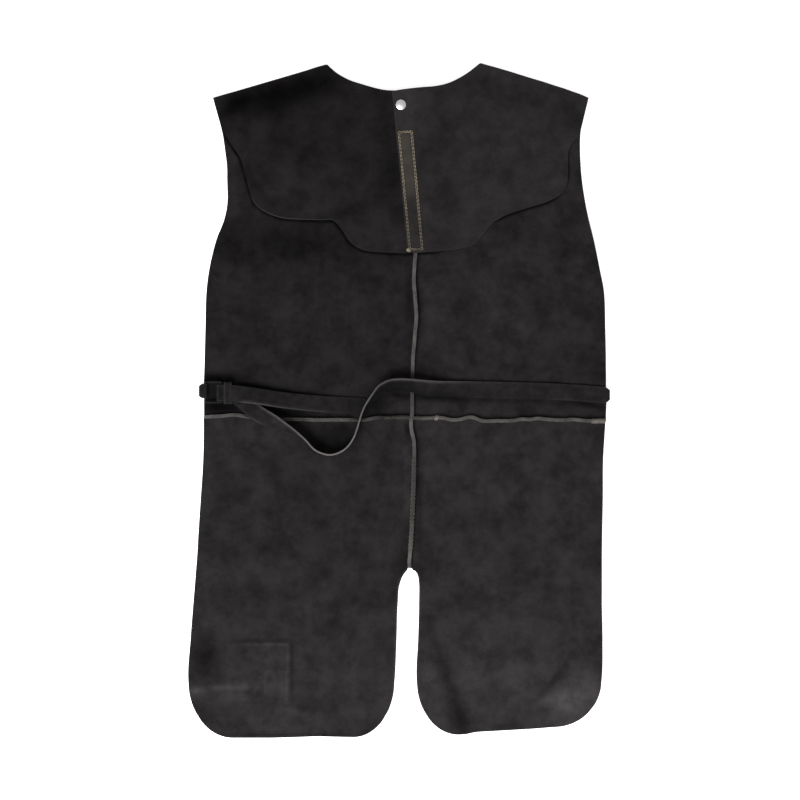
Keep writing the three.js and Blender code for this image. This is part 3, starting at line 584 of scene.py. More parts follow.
def rounded_hem(start, side_width, side_drop, inner_width, inner_drop, toward, between):
    """A hem with a quarter of an ellipse at both ends: three rows down to the middle of each corner, and
    the curve that goes on from there round one corner, along the points between and round the other."""
    turn = np.radians(np.concatenate([[15, 30], np.linspace(45, 90, 12)]))
    side_x = start[0] + toward * side_width * (1 - np.cos(turn))
    side_y = start[1] - side_drop * np.sin(turn)
    inner_x = start[2] - toward * inner_width * (1 - np.cos(turn))
    inner_y = start[3] - inner_drop * np.sin(turn)
    rows = np.column_stack([side_x, side_y, inner_x, inner_y])
    curve = rows[CORNER_ROWS - 1 :]
    return rows[:CORNER_ROWS].tolist(), np.vstack([curve[:, :2], between, curve[::-1, 2:]])


# sections of the yoke over the bib: lower end, upper end, how pale the lower end is
YOKE_LEFT = [
    (-280, 428, -294, 478, 0.1),
    (-266, 406, -272, 484.5, 0.2),
    (-251, 384, -248, 491, 0.25),
    (-242, 356, -224, 497, 0.3),
    (-236, 333, -202, 503.5, 0.4),
    (-229, 313, -184, 508.5, 0.5),
    (-213, 299, -167, 514, 0.6),
    (-188, 289, -151, 519.5, 0.6),
    (-158, 286, -132, 526, 0.5),
    (-134, 285.2, -118, 529.9, 0.37),
    (-130, 285, -114, 531, 0.35),
    (-126, 284.8, -110.3, 527.6, 0.33),
    (-103, 284, -94, 514.5, 0.2),
    (-91, 271, -78, 506, 0.1),
    (-77, 250, -62, 500.5, 0.1),
    (-58, 238, -44, 495, 0.1),
    (-25, 234, -22, 490, 0.1),
    (8, 232.5, 4, 489, 0.1),
    (42, 233.5, 30, 489.5, 0.1),
]
YOKE_RIGHT = [
    (13.5, 234.5, -11, 488, 0.1),
    (40, 234, 12, 491.5, 0.1),
    (68, 236, 36, 494, 0.1),
    (95, 239.5, 58, 496, 0.1),
    (117, 246, 78, 501, 0.15),
    (131, 261, 103, 514, 0.2),
    (145, 277.5, 124.2, 530, 0.16),
    (148, 281, 128, 533, 0.15),
    (152, 283.6, 132, 531.9, 0.14),
    (172, 294, 150, 527, 0.1),
    (202, 304, 174, 520, 0.1),
    (234, 314, 198, 512.5, 0.1),
    (254, 325, 216, 507, 0.15),
    (264, 338, 231, 502.5, 0.15),
    (267, 358, 246, 497.5, 0.1),
    (267, 378, 259, 493.5, 0.1),
    (268.5, 396, 273, 488.5, 0.1),
    (276, 409, 287, 483.5, 0.1),
    (285, 418, 299.5, 478, 0.1),
]

panel_edge = raw_edge("seam_edge", (0.098, 0.093, 0.088), (0.012, 0.011, 0.0115))
# the bib's nap takes painted shade under the yoke's loose lower edge
bib_suede = suede("bib_suede", (0.0132, 0.0120, 0.0126), 0.42, shade_under_yoke=True)
leg_suede = suede("leg_suede", (0.0157, 0.0144, 0.0150), 0.40, pressed_mark=True)
outside_suede = suede("outside_suede", (0.0145, 0.0132, 0.0138), 0.40, marked=False)

# rows of a panel: place at the side, place at the inner edge, with None on the centre seam
BIB_LEFT = [
    (-308, -28, None, -28),
    (-308, -19, None, -19),
    (-308, -7, None, -7),
    (-308, 13, None, 13),
    (-308, 33, None, 33),
    (-307.5, 54, None, 54),
    (-306, 111, None, 111),
    (-304, 175, None, 172),
    (-300, 206, None, 214),
    (-288.5, 254, None, 270),
    (-276.5, 285, None, 320),
    (-271.5, 309, None, 362),
    (-271.5, 348, None, 418),
    (-272, 372, -22, 427),
    (-275, 396, -56, 442),
    (-278.5, 420, -83, 464),
    (-285, 446, -101, 494),
    (-294, 478, -114, 531),
]
# marks on the nap and marks of painted shade and light: place, direction, half length, half width,
# strength
BIB_LEFT_TONE_AND_SHADE = [
    (-170, 150, 0, 260, 260, -0.22),
    # from here on all but the mark at (-130, 150) are painted shade: under the yoke's hem, round the buckle
    # and the strap's free end, by the strap's loop and its lower edge, and beside the centre seam
    (-170, 252, 0, 140, 30, -0.6),
    (-285, 276, 10, 26, 8, -0.5),
    (-280, -11, 0, 32, 10, -1.7),
    (-294, 13, 0, 10, 18, -0.8),
    (-288, 36, 0, 46, 6, -1.0),
    (-218, 21, -8.5, 44, 5, -1.2),
    (-145, 11, -5.5, 46, 3.5, -0.9),
    (-170, -20, -3, 60, 6, -0.6),
    (-130, 150, 10, 90, 40, 0.12),
    (-34, 0, 60, 20, 14, -0.8),
    (0, 9, -4, 24, 4.5, -0.9),
    (16, 150, 92, 40, 6, -0.4),
]
bib_materials = [bib_suede, panel_edge, outside_suede]
bib_left = front_panel("bib_left_leather", BIB_LEFT, 1, 1, BIB_LEFT_TONE_AND_SHADE, bib_materials, yoke=YOKE_LEFT)
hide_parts("bib_left")

BIB_RIGHT = [
    (327, -28, None, -28),
    (327, -19, None, -19),
    (327.5, -7, None, -7),
    (327, 13, None, 13),
    (327, 33, None, 33),
    (327, 54, None, 54),
    (326, 111, None, 111),
    (323.5, 175, None, 172),
    (317.5, 206, None, 214),
    (307.5, 254, None, 270),
    (300, 285, None, 320),
    (295, 309, None, 362),
    (289, 348, None, 418),
    (287, 372, 70, 427),
    (286, 396, 96, 443),
    (286.5, 420, 112, 466),
    (290.5, 446, 121, 496),
    (299.5, 478, 128, 533),
]
BIB_RIGHT_TONE_AND_SHADE = [
    (180, 130, 0, 110, 60, 0.15),
    (46, 140, 92, 50, 8, 0.2),
    # this and the rest are painted shade along the strap, north of it and under its lower edge
    (210, 30, 0, 90, 5, -0.2),
    (60, 5, -4, 46, 6, -1.1),
    (150, 0, -2, 60, 4, -0.4),
    (260, -4, -4, 70, 5, -0.4),
    (302, -7, -13, 26, 4.5, -0.9),
]
bib_right = front_panel(
    "bib_right_leather", BIB_RIGHT, -1, 1, BIB_RIGHT_TONE_AND_SHADE, bib_materials, yoke=YOKE_RIGHT
)
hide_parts("bib_right")

LEG_LEFT = [
    (-308.5, -34, None, -34),
    (-308.5, -43, None, -43),
    (-309.5, -94, None, -94),
    (-313.5, -157, None, -157),
    (-317, -210, None, -210),
    (-319.5, -252, None, -256),
    (-320.5, -264, None, -266),
    (-321.2, -273, 9, -272.5),
    (-321.8, -281, 4.5, -280),
    (-322.5, -290, 1, -290),
    (-325, -320, -2, -320),
    (-329.5, -378, -4, -378),
    (-333, -442, -7, -442),
]
LEG_LEFT_TONE_AND_SHADE = [
    (-262, -452, 3, 46, 4.5, 0.75),
    (-322, -459, 6, 12, 4, 0.6),
    (-303, -404, 0, 25, 24, -0.75),
    (-300, -492, 0, 34, 22, -0.25),
    (8, -262, 60, 40, 20, -0.45),
    # painted shade beside the centre seam
    (14, -46, 90, 14, 5, -0.9),
    (12, -130, 90, 60, 5, 0.25),
    (-160, -190, 0, 240, 160, -0.2),
    # this and the next are painted shade inside the strap's loop
    (-98, -60, 0, 34, 22, -0.5),
    (-88, -43, 0, 12, 9, -0.7),
    (-120, -480, 0, 130, 50, 0.1),
    (-156, -495, -12, 22, 5, 0.4),
    (-180, -528, 0, 120, 2.5, -0.5),
]
LEG_LEFT_HEM = [(-200, -533), (-160, -531.8), (-130, -530.6), (-100, -531.4)]
corner_rows, hem_left = rounded_hem(LEG_LEFT[-1], 70, 91, 65, 90, 1, LEG_LEFT_HEM)
leg_left_rows = LEG_LEFT + corner_rows
leg_materials = [leg_suede, panel_edge, outside_suede]
leg_left = front_panel("leg_left_leather", leg_left_rows, 1, -1, LEG_LEFT_TONE_AND_SHADE, leg_materials, hem_left)
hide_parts("leg_left")

LEG_RIGHT = [
    (326, -34, None, -34),
    (325.5, -43, None, -43),
    (322.5, -94, None, -94),
    (322, -157, None, -157),
    (321, -210, None, -210),
    (320.5, -252, None, -256),
    (320.5, -264, None, -266),
    (320.5, -273, 26, -270),
    (320.5, -281, 29.5, -275.5),
    (320.5, -290, 31, -284),
    (320.5, -320, 31.5, -320),
    (321.5, -378, 30, -378),
    (320, -442, 28, -442),
]
LEG_RIGHT_TONE_AND_SHADE = [
    # this and the next are painted shade along the right side of the long fold
    (72, -423, -71.6, 84, 8, -0.3),
    (94, -492, -70, 40, 10, -0.32),
    (50, -430, -72, 70, 10, 0.3),
    # painted shade along the right side of the long fold, at its foot
    (98, -515, -60, 30, 16, -0.4),
    (246, -440, 52, 30, 6, -0.6),
    (276, -474, 30, 50, 34, 0.75),
    (40, -245, 70, 50, 12, -0.3),
    # painted shade right of the centre seam
    (31, -150, 91, 80, 5, -0.6),
    (190, -440, 0, 140, 90, 0.33),
]
LEG_RIGHT_HEM = [(210, -518.8), (172, -521), (140, -522.8), (125, -523.6), (116, -524.9), (106, -527.4)]
corner_rows, hem_right = rounded_hem(LEG_RIGHT[-1], 75, 74, 66, 86, -1, LEG_RIGHT_HEM)
leg_right_rows = LEG_RIGHT + corner_rows
leg_right = front_panel(
    "leg_right_leather", leg_right_rows, -1, -1, LEG_RIGHT_TONE_AND_SHADE, leg_materials, hem_right
)
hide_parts("leg_right")


# The yoke covers the wearer's shoulder blades: two halves of the same hide, sewn to the front along
# the shoulders and loose below. The right half laps over the left, and both ride up over the raw
# edges of the centre seam.
SHOULDER_LEFT = np.array([(-294.0, 478.0), (-114.0, 531.0)])
SHOULDER_RIGHT = np.array([(299.5, 478.0), (128.0, 533.0)])
YOKE_FOLDS = [(-92, 284, 17, 34, 16, 2.5), (252, 356, 75, 36, 20, 3.0)]
YOKE_PALE = 0.1  # how much of the hide's core shows along its upper and side edges
YOKE_GAP = 0.4  # between the bib and the yoke at the shoulders
SHOULDER_EASE = 70  # how far from the shoulders the yoke is free to rise
SWELL_HEIGHT = 8.0
SWELL_WIDTH = 108.0
CLOSURE_ROOM = 4.6
OVERLAP_FADE = (46, 105)  # where the upper half comes down beyond the overlap


def yoke_height(x, y):
    """Middle of the under yoke: it rests on the bib at the shoulders and swells over the centre seam."""
    away = np.minimum(distance_to(x, y, SHOULDER_LEFT), distance_to(x, y, SHOULDER_RIGHT))
    swell = SWELL_HEIGHT * np.exp(-(((x - seam_at(CENTRE_SEAM, y, PLACE)) / SWELL_WIDTH) ** 2))
    rise = smoothstep(away, 0, SHOULDER_EASE) * (swell + ridges(x, y, YOKE_FOLDS))
    return 1.5 * LEATHER + YOKE_GAP + rise


def upper_yoke_height(x, y):
    """Middle of the upper yoke: the under yoke's height, and room for the closure where they overlap."""
    return yoke_height(x, y) + CLOSURE_ROOM * (1 - smoothstep(x, *OVERLAP_FADE))


def yoke_half(name, sections, height_at, marks, materials, stain_at=None):
    """A yoke half: straight sections from its lower edge to its top, with smooth lines through their
    ends, at the height that height_at gives. A section's last figure says how pale its lower end is."""
    table = np.array(sections, dtype=float)
    run = run_along(table)
    end = run[-1]
    edge_places = np.array([0.0, 0.5, 1.4])
    places = np.concatenate([edge_places, np.arange(4.0, end - 3.0, 4.0), end - edge_places[::-1]])
    edges = smooth_line(np.column_stack([run, table]), places)[:, 1:]
    edge_shares = np.array([0.0, 0.002, 0.006])
    share = np.concatenate([edge_shares, np.linspace(0.02, 0.98, 62), 1 - edge_shares[::-1]])
    x, y = between_ends(edges, share)
    rim = np.zeros_like(x)
    rim[[0, 1, -1, -2]] = YOKE_PALE
    rim[:, -2:] = YOKE_PALE
    rim[:, :2] = edges[:, [4]]
    points = np.stack([x, y, height_at(x, y)], axis=-1)
    values = {"tone": nap_tone_shade_and_light(x, y, marks), "rim": rim}
    if stain_at is not None:
        values["stain"] = stain_at(x, y)
    piece = add_piece(name, points, grid_faces(*x.shape)[:, ::-1], materials, values)
    thicken(piece, LEATHER)
    return piece


yoke_edge = raw_edge("yoke_edge", (0.075, 0.071, 0.068), (0.012, 0.011, 0.0115))
yoke_left_suede = suede("yoke_left_suede", (0.0122, 0.0111, 0.0116), 0.38)
yoke_right_suede = suede("yoke_right_suede", (0.0170, 0.0157, 0.0163), 0.35)

YOKE_LEFT_TONE_AND_SHADE = [
    (-195, 482, 15, 70, 24, -1.5),
    (-125, 500, 20, 30, 20, -0.6),
    (-264, 464, 40, 26, 12, -0.9),
    (-100, 400, 0, 200, 130, -0.28),
    # painted shade beside the right half's overlapping edge
    (-14, 400, 98, 90, 14, -0.35),
    (-115, 345, 40, 60, 40, 0.2),
    (-190, 345, 60, 50, 30, 0.1),
    # painted shade along the fold by the lower edge
    (-96, 292, 16, 40, 8, -0.3),
]
yoke_left = yoke_half(
    "yoke_left_leather", YOKE_LEFT, yoke_height, YOKE_LEFT_TONE_AND_SHADE, [yoke_left_suede, yoke_edge]
)
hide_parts("yoke_left")

YOKE_RIGHT_MARKS = [
    (16, 466, 85, 40, 18, 0.22),
    (25, 285, 95, 45, 8, -0.35),
    (60, 400, 85, 80, 14, -0.15),
    (115, 505, 30, 26, 16, -0.3),
    (60, 470, 60, 30, 10, -0.2),
    (150, 440, 60, 40, 20, -0.15),
    (260, 450, -20, 40, 26, -0.2),
    (180, 360, 0, 70, 50, 0.06),
]

# the sewn rectangle: its top, its length, and its sides at the top with how far they slant by the foot
SEWN_TOP = 423.0
SEWN_LENGTH = 184.5
SEWN_LEFT = (-0.3, 17.5)
SEWN_RIGHT = (20.0, 16.8)


def behind_closure(x, y):
    """How far the nap is browned inside the sewn rectangle: more in its upper part than in its lower."""
    down = (SEWN_TOP - y) / SEWN_LENGTH
    from_left = x - SEWN_LEFT[0] - SEWN_LEFT[1] * down
    from_right = SEWN_RIGHT[0] + SEWN_RIGHT[1] * down - x
    inside = smoothstep(from_left, 0, 3) * smoothstep(from_right, 0, 3)
    inside = inside * smoothstep(down, 0, 0.02) * smoothstep(1 - down, 0, 0.02)
    return inside * (0.1 + 0.35 * (1 - smoothstep(down, 0.4, 0.65)))


yoke_right = yoke_half(
    "yoke_right_leather",
    YOKE_RIGHT,
    upper_yoke_height,
    YOKE_RIGHT_MARKS,
    [yoke_right_suede, yoke_edge],
    behind_closure,
)
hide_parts("yoke_right")


# Between the yoke halves lies the closure: a strip of woven loop sewn to the left half and one of
# hooks sewn to the right. Neither shows once it is shut.
tape_weave, tape_shader, tape_place = start_material("closure_tape")
loops = tape_place.noise(1400.0, 2.0, 0.7)
apply_finish(tape_shader, loops.mix((0.006, 0.006, 0.006), (0.02, 0.02, 0.021)), loops, 0.8, 0.0006, 0.9)


def redress(node, material):
    """Gives a solid of the frame another material."""
    nodes[node].data.materials.clear()
    nodes[node].data.materials.append(material)


redress("loop_tape", tape_weave)
redress("hook_tape", tape_weave)


# The closure is sewn through the right half of the yoke with a rectangle of heavy khaki thread.
# Each stitch is a short tube that dips into the leather at both ends.
def stitch_ends(corners, length, gap):
    """Needle holes along straight runs between corners: the start and the end of every stitch."""
    starts, ends = [], []
    for (ax, ay), (bx, by) in zip(corners[:-1], corners[1:]):
        reach = np.hypot(bx - ax, by - ay)
        count = max(1, int(round(reach / (length + gap))))
        first = np.arange(count) / count
        last = first + length / (length + gap) / count
        starts.append(np.stack([ax + (bx - ax) * first, ay + (by - ay) * first], axis=-1))
        ends.append(np.stack([ax + (bx - ax) * last, ay + (by - ay) * last], axis=-1))
    return np.concatenate(starts), np.concatenate(ends)


def sew(name, starts, ends, height_at, radius, dip, material):
    """Stitches as tubes from one needle hole to the next: each rises by half a sine from its dipped ends
    to the height that height_at gives, and thins to its ends."""
    t = np.array([0.0, 0.1, 0.3, 0.5, 0.7, 0.9, 1.0])
    arch = np.sin(np.pi * t)
    ring = np.arange(6)
    turn = ring * np.pi / 3
    middle = starts[:, None] + (ends - starts)[:, None] * t[:, None]
    heading = (ends - starts) / np.linalg.norm(ends - starts, axis=-1, keepdims=True)
    side = np.stack([-heading[:, 1], heading[:, 0]], axis=-1)
    thick = radius * (0.55 + 0.45 * arch)
    lift = height_at(middle[..., 0], middle[..., 1]) - dip * (1 - arch)
    points = np.empty((len(starts), len(t), len(ring), 3))
    points[..., :2] = middle[:, :, None] + side[:, None, None] * (thick[:, None] * np.cos(turn))[..., None]
    points[..., 2] = lift[:, :, None] + thick[:, None] * np.sin(turn)
    following = np.roll(ring, -1)
    band = np.stack([ring, following, following + len(ring), ring + len(ring)], axis=-1)
    bands = band + len(ring) * np.arange(len(t) - 1)[:, None, None]
    cap = np.array([(0, 1, 2, 3), (0, 3, 4, 5)])
    tube = np.concatenate([bands.reshape(-1, 4), cap[:, ::-1], cap + len(ring) * (len(t) - 1)])
    faces = tube + len(t) * len(ring) * np.arange(len(starts))[:, None, None]
    piece = add_piece(name, points, faces.reshape(-1, 4), [material])


def thread(name, dark, light, dull_at=None, bright_at=None):
    """Spun thread: soft patches of tone and fine fibre. Given dull_at, a thread has half its brightness
    where the place along the apron is dull_at, and all of it from bright_at on."""
    material, shader, place = start_material(name)
    patch = place.noise(120.0, 2.0, 0.6)
    fibre = place.noise(2600.0, 2.0, 0.6)
    colour = (patch * 0.8 + fibre * 0.5).between(0.4, 0.9).mix(dark, light)
    if dull_at is not None:
        colour = colour.scaled(0.5 + 0.5 * place.axis(1).between(dull_at, bright_at))
    apply_finish(shader, colour, fibre, 0.4, 0.0003, 0.8)
    return material


khaki_thread = thread("khaki_thread", (0.088, 0.071, 0.048), (0.209, 0.174, 0.121))
# the closure's thread has half its brightness low on the closure and all of it high up
darker_below_thread = thread("darker_below_thread", (0.080, 0.065, 0.044), (0.190, 0.158, 0.110), 0.25, 0.36)
THREAD_LIFT = 0.45  # how high the middle of a thread lies over what it is sewn to


def on_yoke(x, y):
    """Where the middle of a thread runs that lies on the right half of the yoke."""
    return upper_yoke_height(x, y) + LEATHER / 2 + THREAD_LIFT


OUTER_ROW = [(-1.2, 424), (16.3, 237.6), (37.8, 237.6), (21, 425), (-1.2, 424)]
INNER_ROW = [(0.9, 422), (18.2, 239.6), (35.6, 239.6), (19, 423), (0.9, 422)]
closure_rows = [stitch_ends(OUTER_ROW, 5.6, 0.3), stitch_ends(INNER_ROW, 5.2, 0.3)]
closure_starts, closure_ends = (np.concatenate(holes) for holes in zip(*closure_rows))
sew("closure_stitches", closure_starts, closure_ends, on_yoke, 0.9, 0.5, darker_below_thread)
knot_starts = np.array([(11.5, 237), (12.5, 235.6), (12, 238.6), (13.5, 236.4), (15, 234.8)])
knot_ends = np.array([(18.5, 237.6), (19, 236), (18, 239), (17.5, 234.6), (16, 240)])
sew("closure_knot", knot_starts, knot_ends, on_yoke, 1.2, 0.7, khaki_thread)


# Bar tacks of a greyer thread close the waist seam over its raw edges at the right side and where it
# meets the centre seam, and a line of olive thread runs down each side of the lower centre seam.
tack_thread = thread("tack_thread", (0.075, 0.066, 0.056), (0.165, 0.147, 0.126))
dull_thread = thread("dull_thread", (0.030, 0.026, 0.022), (0.075, 0.067, 0.057))
olive_thread = thread("olive_thread", (0.036, 0.030, 0.020), (0.090, 0.076, 0.052))
TACK_LIFT = 0.6  # how high the middle of a tack's thread lies over the raw edges
TACK_DIP = 2.4  # how far its ends go down beside them
SEAM_STITCH_HEIGHT = 5.6


def over_waist(x, y):
    """Just above the raw edges of the waist seam."""
    return seam_at(WAIST_SEAM, x, TOP) + TACK_LIFT + 0 * y


def tack(name, places, reach, slant, radius, material):
    """Stitches across the waist seam at the given places along it."""
    seam = seam_at(WAIST_SEAM, places, PLACE)
    starts = np.column_stack([places - slant, seam - reach])
    ends = np.column_stack([places + slant, seam + reach])
    sew(name, starts, ends, over_waist, radius, TACK_DIP, material)


tack("side_bar_tack", np.arange(305.0, 325.0, 1.5), 4.2, 0.5, 0.62, tack_thread)
tack("crossing_bar_tack_left", np.arange(-21.0, 38.0, 2.6), 3.4, 1.4, 0.5, dull_thread)
tack("crossing_bar_tack_right", np.arange(39.0, 71.0, 2.6), 3.4, 1.4, 0.5, tack_thread)
tack("crossing_knot", np.array([57.5, 59.0, 60.2, 61.5]), 4.4, 0.7, 0.8, tack_thread)


def beside_centre(x, y):
    """Part of the way up the raw edges of the lower centre seam."""
    return SEAM_STITCH_HEIGHT + 0 * x


seam_heights = np.linspace(-92, -236, 9)
seam_places = seam_at(CENTRE_SEAM, seam_heights, PLACE)
for side_name, off_seam in (("left", -3.2), ("right", 3.1)):
    seam_corners = list(zip(seam_places + off_seam, seam_heights))
    starts, ends = stitch_ends(seam_corners, 5.5, 1.0)
    sew("centre_stitches_" + side_name, starts, ends, beside_centre, 0.5, 0.6, olive_thread)


# The press stud at the neck has a domed cap of bright nickel over a flange. Its lower half, under
# the overlap, is a plain disc and post.
nickel, nickel_shader, nickel_place = start_material("bright_nickel")
haze = nickel_place.noise(900.0, 3.0, 0.6)
haze.mix((0.80, 0.80, 0.80), (0.95, 0.95, 0.95)).feed(nickel_shader, "Base Color")
(haze * 0.15 + 0.3).feed(nickel_shader, "Roughness")
nickel_shader.inputs["Metallic"].default_value = 1.0
SNAP_X, SNAP_Y = 3.0, 466.0
snap_top = float(upper_yoke_height(np.array([SNAP_X]), np.array([SNAP_Y]))[0]) + LEATHER / 2
SNAP_PROFILE = np.array(
    [
        (0.0, 0.2),
        (7.0, 0.2),
        (7.9, 0.45),
        (8.2, 0.9),
        (7.95, 1.35),
        (7.4, 1.65),
        (7.0, 1.75),
        (6.4, 2.25),
        (5.2, 2.9),
        (3.6, 3.35),
        (1.8, 3.55),
        (0.0, 3.6),
    ]
)


def turned(profile, x, y, z, sides):
    """A turned piece: the profile's radius and height carried round an upright axis."""
    around = 2 * np.pi * np.arange(sides + 1) / sides
    radius = profile[:, [0]]
    points = np.empty((len(profile), sides + 1, 3))
    points[..., 0] = x + radius * np.cos(around)
    points[..., 1] = y + radius * np.sin(around)
    points[..., 2] = z + profile[:, [1]]
    return points


def close_seam(piece):
    """Joins the last points round a piece to the first, which lie in the same places."""
    weld = piece.modifiers.new("closed_seam", "WELD")
    weld.merge_threshold = 0.01 * MM


snap_points = turned(SNAP_PROFILE, SNAP_X, SNAP_Y, snap_top, 48)
snap_cap = add_piece("press_stud_cap", snap_points, grid_faces(*snap_points.shape[:2]), [nickel])
close_seam(snap_cap)
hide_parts("snap_cap")
redress("snap_stud", nickel)


# The waist strap is one 26 mm strip of the same hide. It comes round the right side from the front,
# lies flat, turns on edge over the middle in a loop, and goes back through the buckle so that its
# free end lies under the loop.
STRAP_WIDTH = 26.0
STRAP_THICKNESS = 2.6
SECTION_CORNER = 0.55  # radius of the corners of a strap's section
EDGE_BAND = (2.6, 0.6)  # how far in from its edges a strap begins to be pale, and is fully so
STATION_STEP = 2.5


def raised(rows):
    """Middle points of a strap from what its lower edge rests on and how far it leans. The last two
    figures of a row say how pale its upper and its lower edge are: set to how bright they look, so
    partly painted light and shade."""
    x, y, rest, aim, tilt, upper, lower = np.array(rows, dtype=float).T
    lean = np.radians(np.abs(tilt))
    z = rest + (STRAP_WIDTH * np.sin(lean) + STRAP_THICKNESS * np.cos(lean)) / 2
    return np.column_stack([x, y, z, aim, tilt, upper, lower])


def half_turn(x, y, z, radius, to_right):
    """Stations of an upright half circle, from below to above, that bulges to the right or the left."""
    angle = np.linspace(-np.pi / 2, np.pi / 2, 17)
    across = x + (1 if to_right else -1) * radius * np.cos(angle)
    level = np.tile([90.0, 0.0, 0.1, 0.1], (len(angle), 1))
    return np.column_stack([across, np.full_like(angle, y), z + radius * np.sin(angle), level])


def smoothed(stations):
    """Stations at even steps along the smooth line through the ones given."""
    run = travel(stations[:, :3])
    places = np.linspace(0.0, run[-1], int(run[-1] / STATION_STEP))
    return smooth_line(np.column_stack([run, stations]), places)[:, 1:]


def strip(stations, width, thickness, narrowing, thinning):
    """A flat strip: a round-cornered section carried along its stations. aim and tilt give the way
    from the lower to the upper edge. narrowing and thinning are the shares of its width and of its
    thickness at each station."""
    middle = stations[:, :3]
    aim, tilt = np.radians(stations[:, 3]), np.radians(stations[:, 4])
    heading = np.gradient(middle, axis=0)
    heading /= np.linalg.norm(heading, axis=1, keepdims=True)
    side = np.column_stack([np.cos(aim) * np.cos(tilt), np.sin(aim) * np.cos(tilt), np.sin(tilt)])
    side -= (side * heading).sum(axis=1, keepdims=True) * heading
    side /= np.linalg.norm(side, axis=1, keepdims=True)
    facing = np.cross(heading, side)
    turn = np.radians(np.arange(0, 91, 30))
    half_width, half_thickness = width / 2 - SECTION_CORNER, thickness / 2 - SECTION_CORNER
    quarter = SECTION_CORNER * np.column_stack([np.cos(turn), np.sin(turn)]) + (half_width, half_thickness)
    flat = np.linspace(half_width * 0.9, -half_width * 0.9, 7)
    top = np.column_stack([flat, np.full(7, thickness / 2)])
    upper = np.vstack([quarter, top, quarter[::-1] * (-1, 1)])
    section = np.vstack([upper, upper[::-1] * (1, -1)])
    across = (section[:, 0] * narrowing[:, None])[..., None] * side[:, None]
    through = (section[:, 1] * thinning[:, None])[..., None] * facing[:, None]
    points = middle[:, None] + across + through
    bare = smoothstep(np.abs(section[:, 0]), *(width / 2 - np.array(EDGE_BAND)))
    rim = bare * np.where(section[:, 0] > 0, stations[:, [5]], stations[:, [6]])
    closed = np.concatenate([points, points[:, :1]], axis=1)
    return closed, np.concatenate([rim, rim[:, :1]], axis=1)


def strip_faces(points):
    """Quads along the strip, and the two ends closed by a fan of quads between its two faces."""
    rows, columns = points.shape[:2]
    body = grid_faces(rows, columns)
    half = (columns - 1) // 2
    k = np.arange(half - 1)
    first = np.stack([k, k + 1, columns - 3 - k, columns - 2 - k], axis=-1)
    last = first[:, ::-1] + (rows - 1) * columns
    return np.concatenate([body, first, last])


def add_strip(name, stations, width, thickness, material, marks, narrowing, thinning):
    """A strip as a piece, with the tone of its marks (painted shade and light among them) and its pale
    edges kept at its points.
    """
    points, rim = strip(stations, width, thickness, narrowing, thinning)
    values = {"tone": nap_tone_shade_and_light(points[..., 0], points[..., 1], marks), "rim": rim}
    piece = add_piece(name, points, strip_faces(points), [material], values)
    close_seam(piece)
    return piece


def strap_leather(name, dark, light, edge):
    """Strap leather: napped faces, and pale cut edges wherever the rim attribute is 1."""
    material, shader, place = start_material(name)
    mottle = place.noise(70.0, 4.0, 0.65)
    nap = place.noise(800.0, 3.0, 0.7)
    level = (mottle * 0.9 + nap * 0.4).between(0.4, 0.95)
    toned = level.mix(dark, light).scaled(attribute(place, "tone"))
    bare = attribute(place, "rim") * (0.7 + mottle * 0.6)
    apply_finish(shader, bare.mix(toned, edge), mottle * 0.6 + nap * 0.3, 0.45, 0.0012, 0.92, 0.06)
    return material


BUCKLE_Z = 10.5
STRAP_BAR_X = -283.2  # the strap turns back round the buckle's inner bar
STRAP_BAR_Y = 12.0
STRAP_BAR_RADIUS = 3.1
EDGE_Y = 8.5  # the strap hangs a little lower where it comes round the right side
EDGE_TURN_X = 329.3
EDGE_TURN_Z = 3.7
EDGE_TURN_RADIUS = 2.4
# stations of the strap: place, what its lower edge rests on, aim, tilt, how pale its two edges are,
# set to how bright they look and so partly painted light and shade
STRAP_ANCHOR = [(x, EDGE_Y, 0, 90, 0, 0, 0) for x in (288, 308, 326)]
STRAP_RUN = [
    (326, EDGE_Y, 4.8, 90, 0, 0.1, 0.05),
    (284, 12, 4.8, 92, 0, 0.05, 0.05),
    (253, 13.8, 2.6, 92, 0, 0.05, 0.05),
    (225, 15, 2, 91, 0, 0.05, 0),
    (168, 16.5, 2, 91, 0, 0.1, 0),
    (112, 17.5, 2, 90, 2, 0.2, 0),
    (85, 17.8, 2.3, 90, 6, 0.35, 0),
    (62, 18.3, 3.4, 91, 13, 0.5, 0),
    (41, 20.4, 4.8, 92, 24, 0.55, 0),
    (21, 23.8, 6, 92, 38, 0.55, 0),
    (2, 25.2, 5.2, 93, 42, 0.55, 0),
    (-13, 24.2, 3.8, 107, 46, 0.55, 0),
    (-27, 18.8, 3.6, 126, 57, 0.62, 0),
    (-41, 5, 5.1, 144, 73, 0.68, 0),
    (-52, -8.5, 5.1, 154, 84, 0.68, 0),
    (-58.5, -20, 5.2, 160, 90, 0.68, 0),
    (-62.5, -33, 5.2, 160, 90, 0.72, 0),
    (-66.5, -46.5, 3.2, 155, 90, 0.78, 0),
    (-72, -60, 2, 145, 90, 0.95, 0),
    (-85, -76.5, 2, 120, 90, 1, 0),
    (-108, -85.5, 2, 90, 90, 1, 0),
    (-129, -80, 2, 60, 89, 1, 0),
    (-150, -61, 2, 46, 84, 0.75, 0),
    (-167, -48.5, 2.6, 48, 74, 0.62, 0),
    (-182.5, -40, 4, 50, 59, 0.58, 0),
    (-195.5, -33.5, 4.6, 53, 42, 0.6, 0),
    (-207, -28.5, 4.6, 57, 27, 0.5, 0.03),
    (-219, -22.5, 4.2, 62, 15, 0.4, 0.22),
    (-231, -14, 4, 64, 6, 0.2, 0.12),
    (-241, -5, 4, 66, 2, 0.1, 0.03),
    (-252, 4, 5, 72, 0, 0.1, 0),
    (-262, 9.8, 6.1, 82, 0, 0.1, 0),
    (-271, 12, 6.1, 90, 0, 0.1, 0),
]
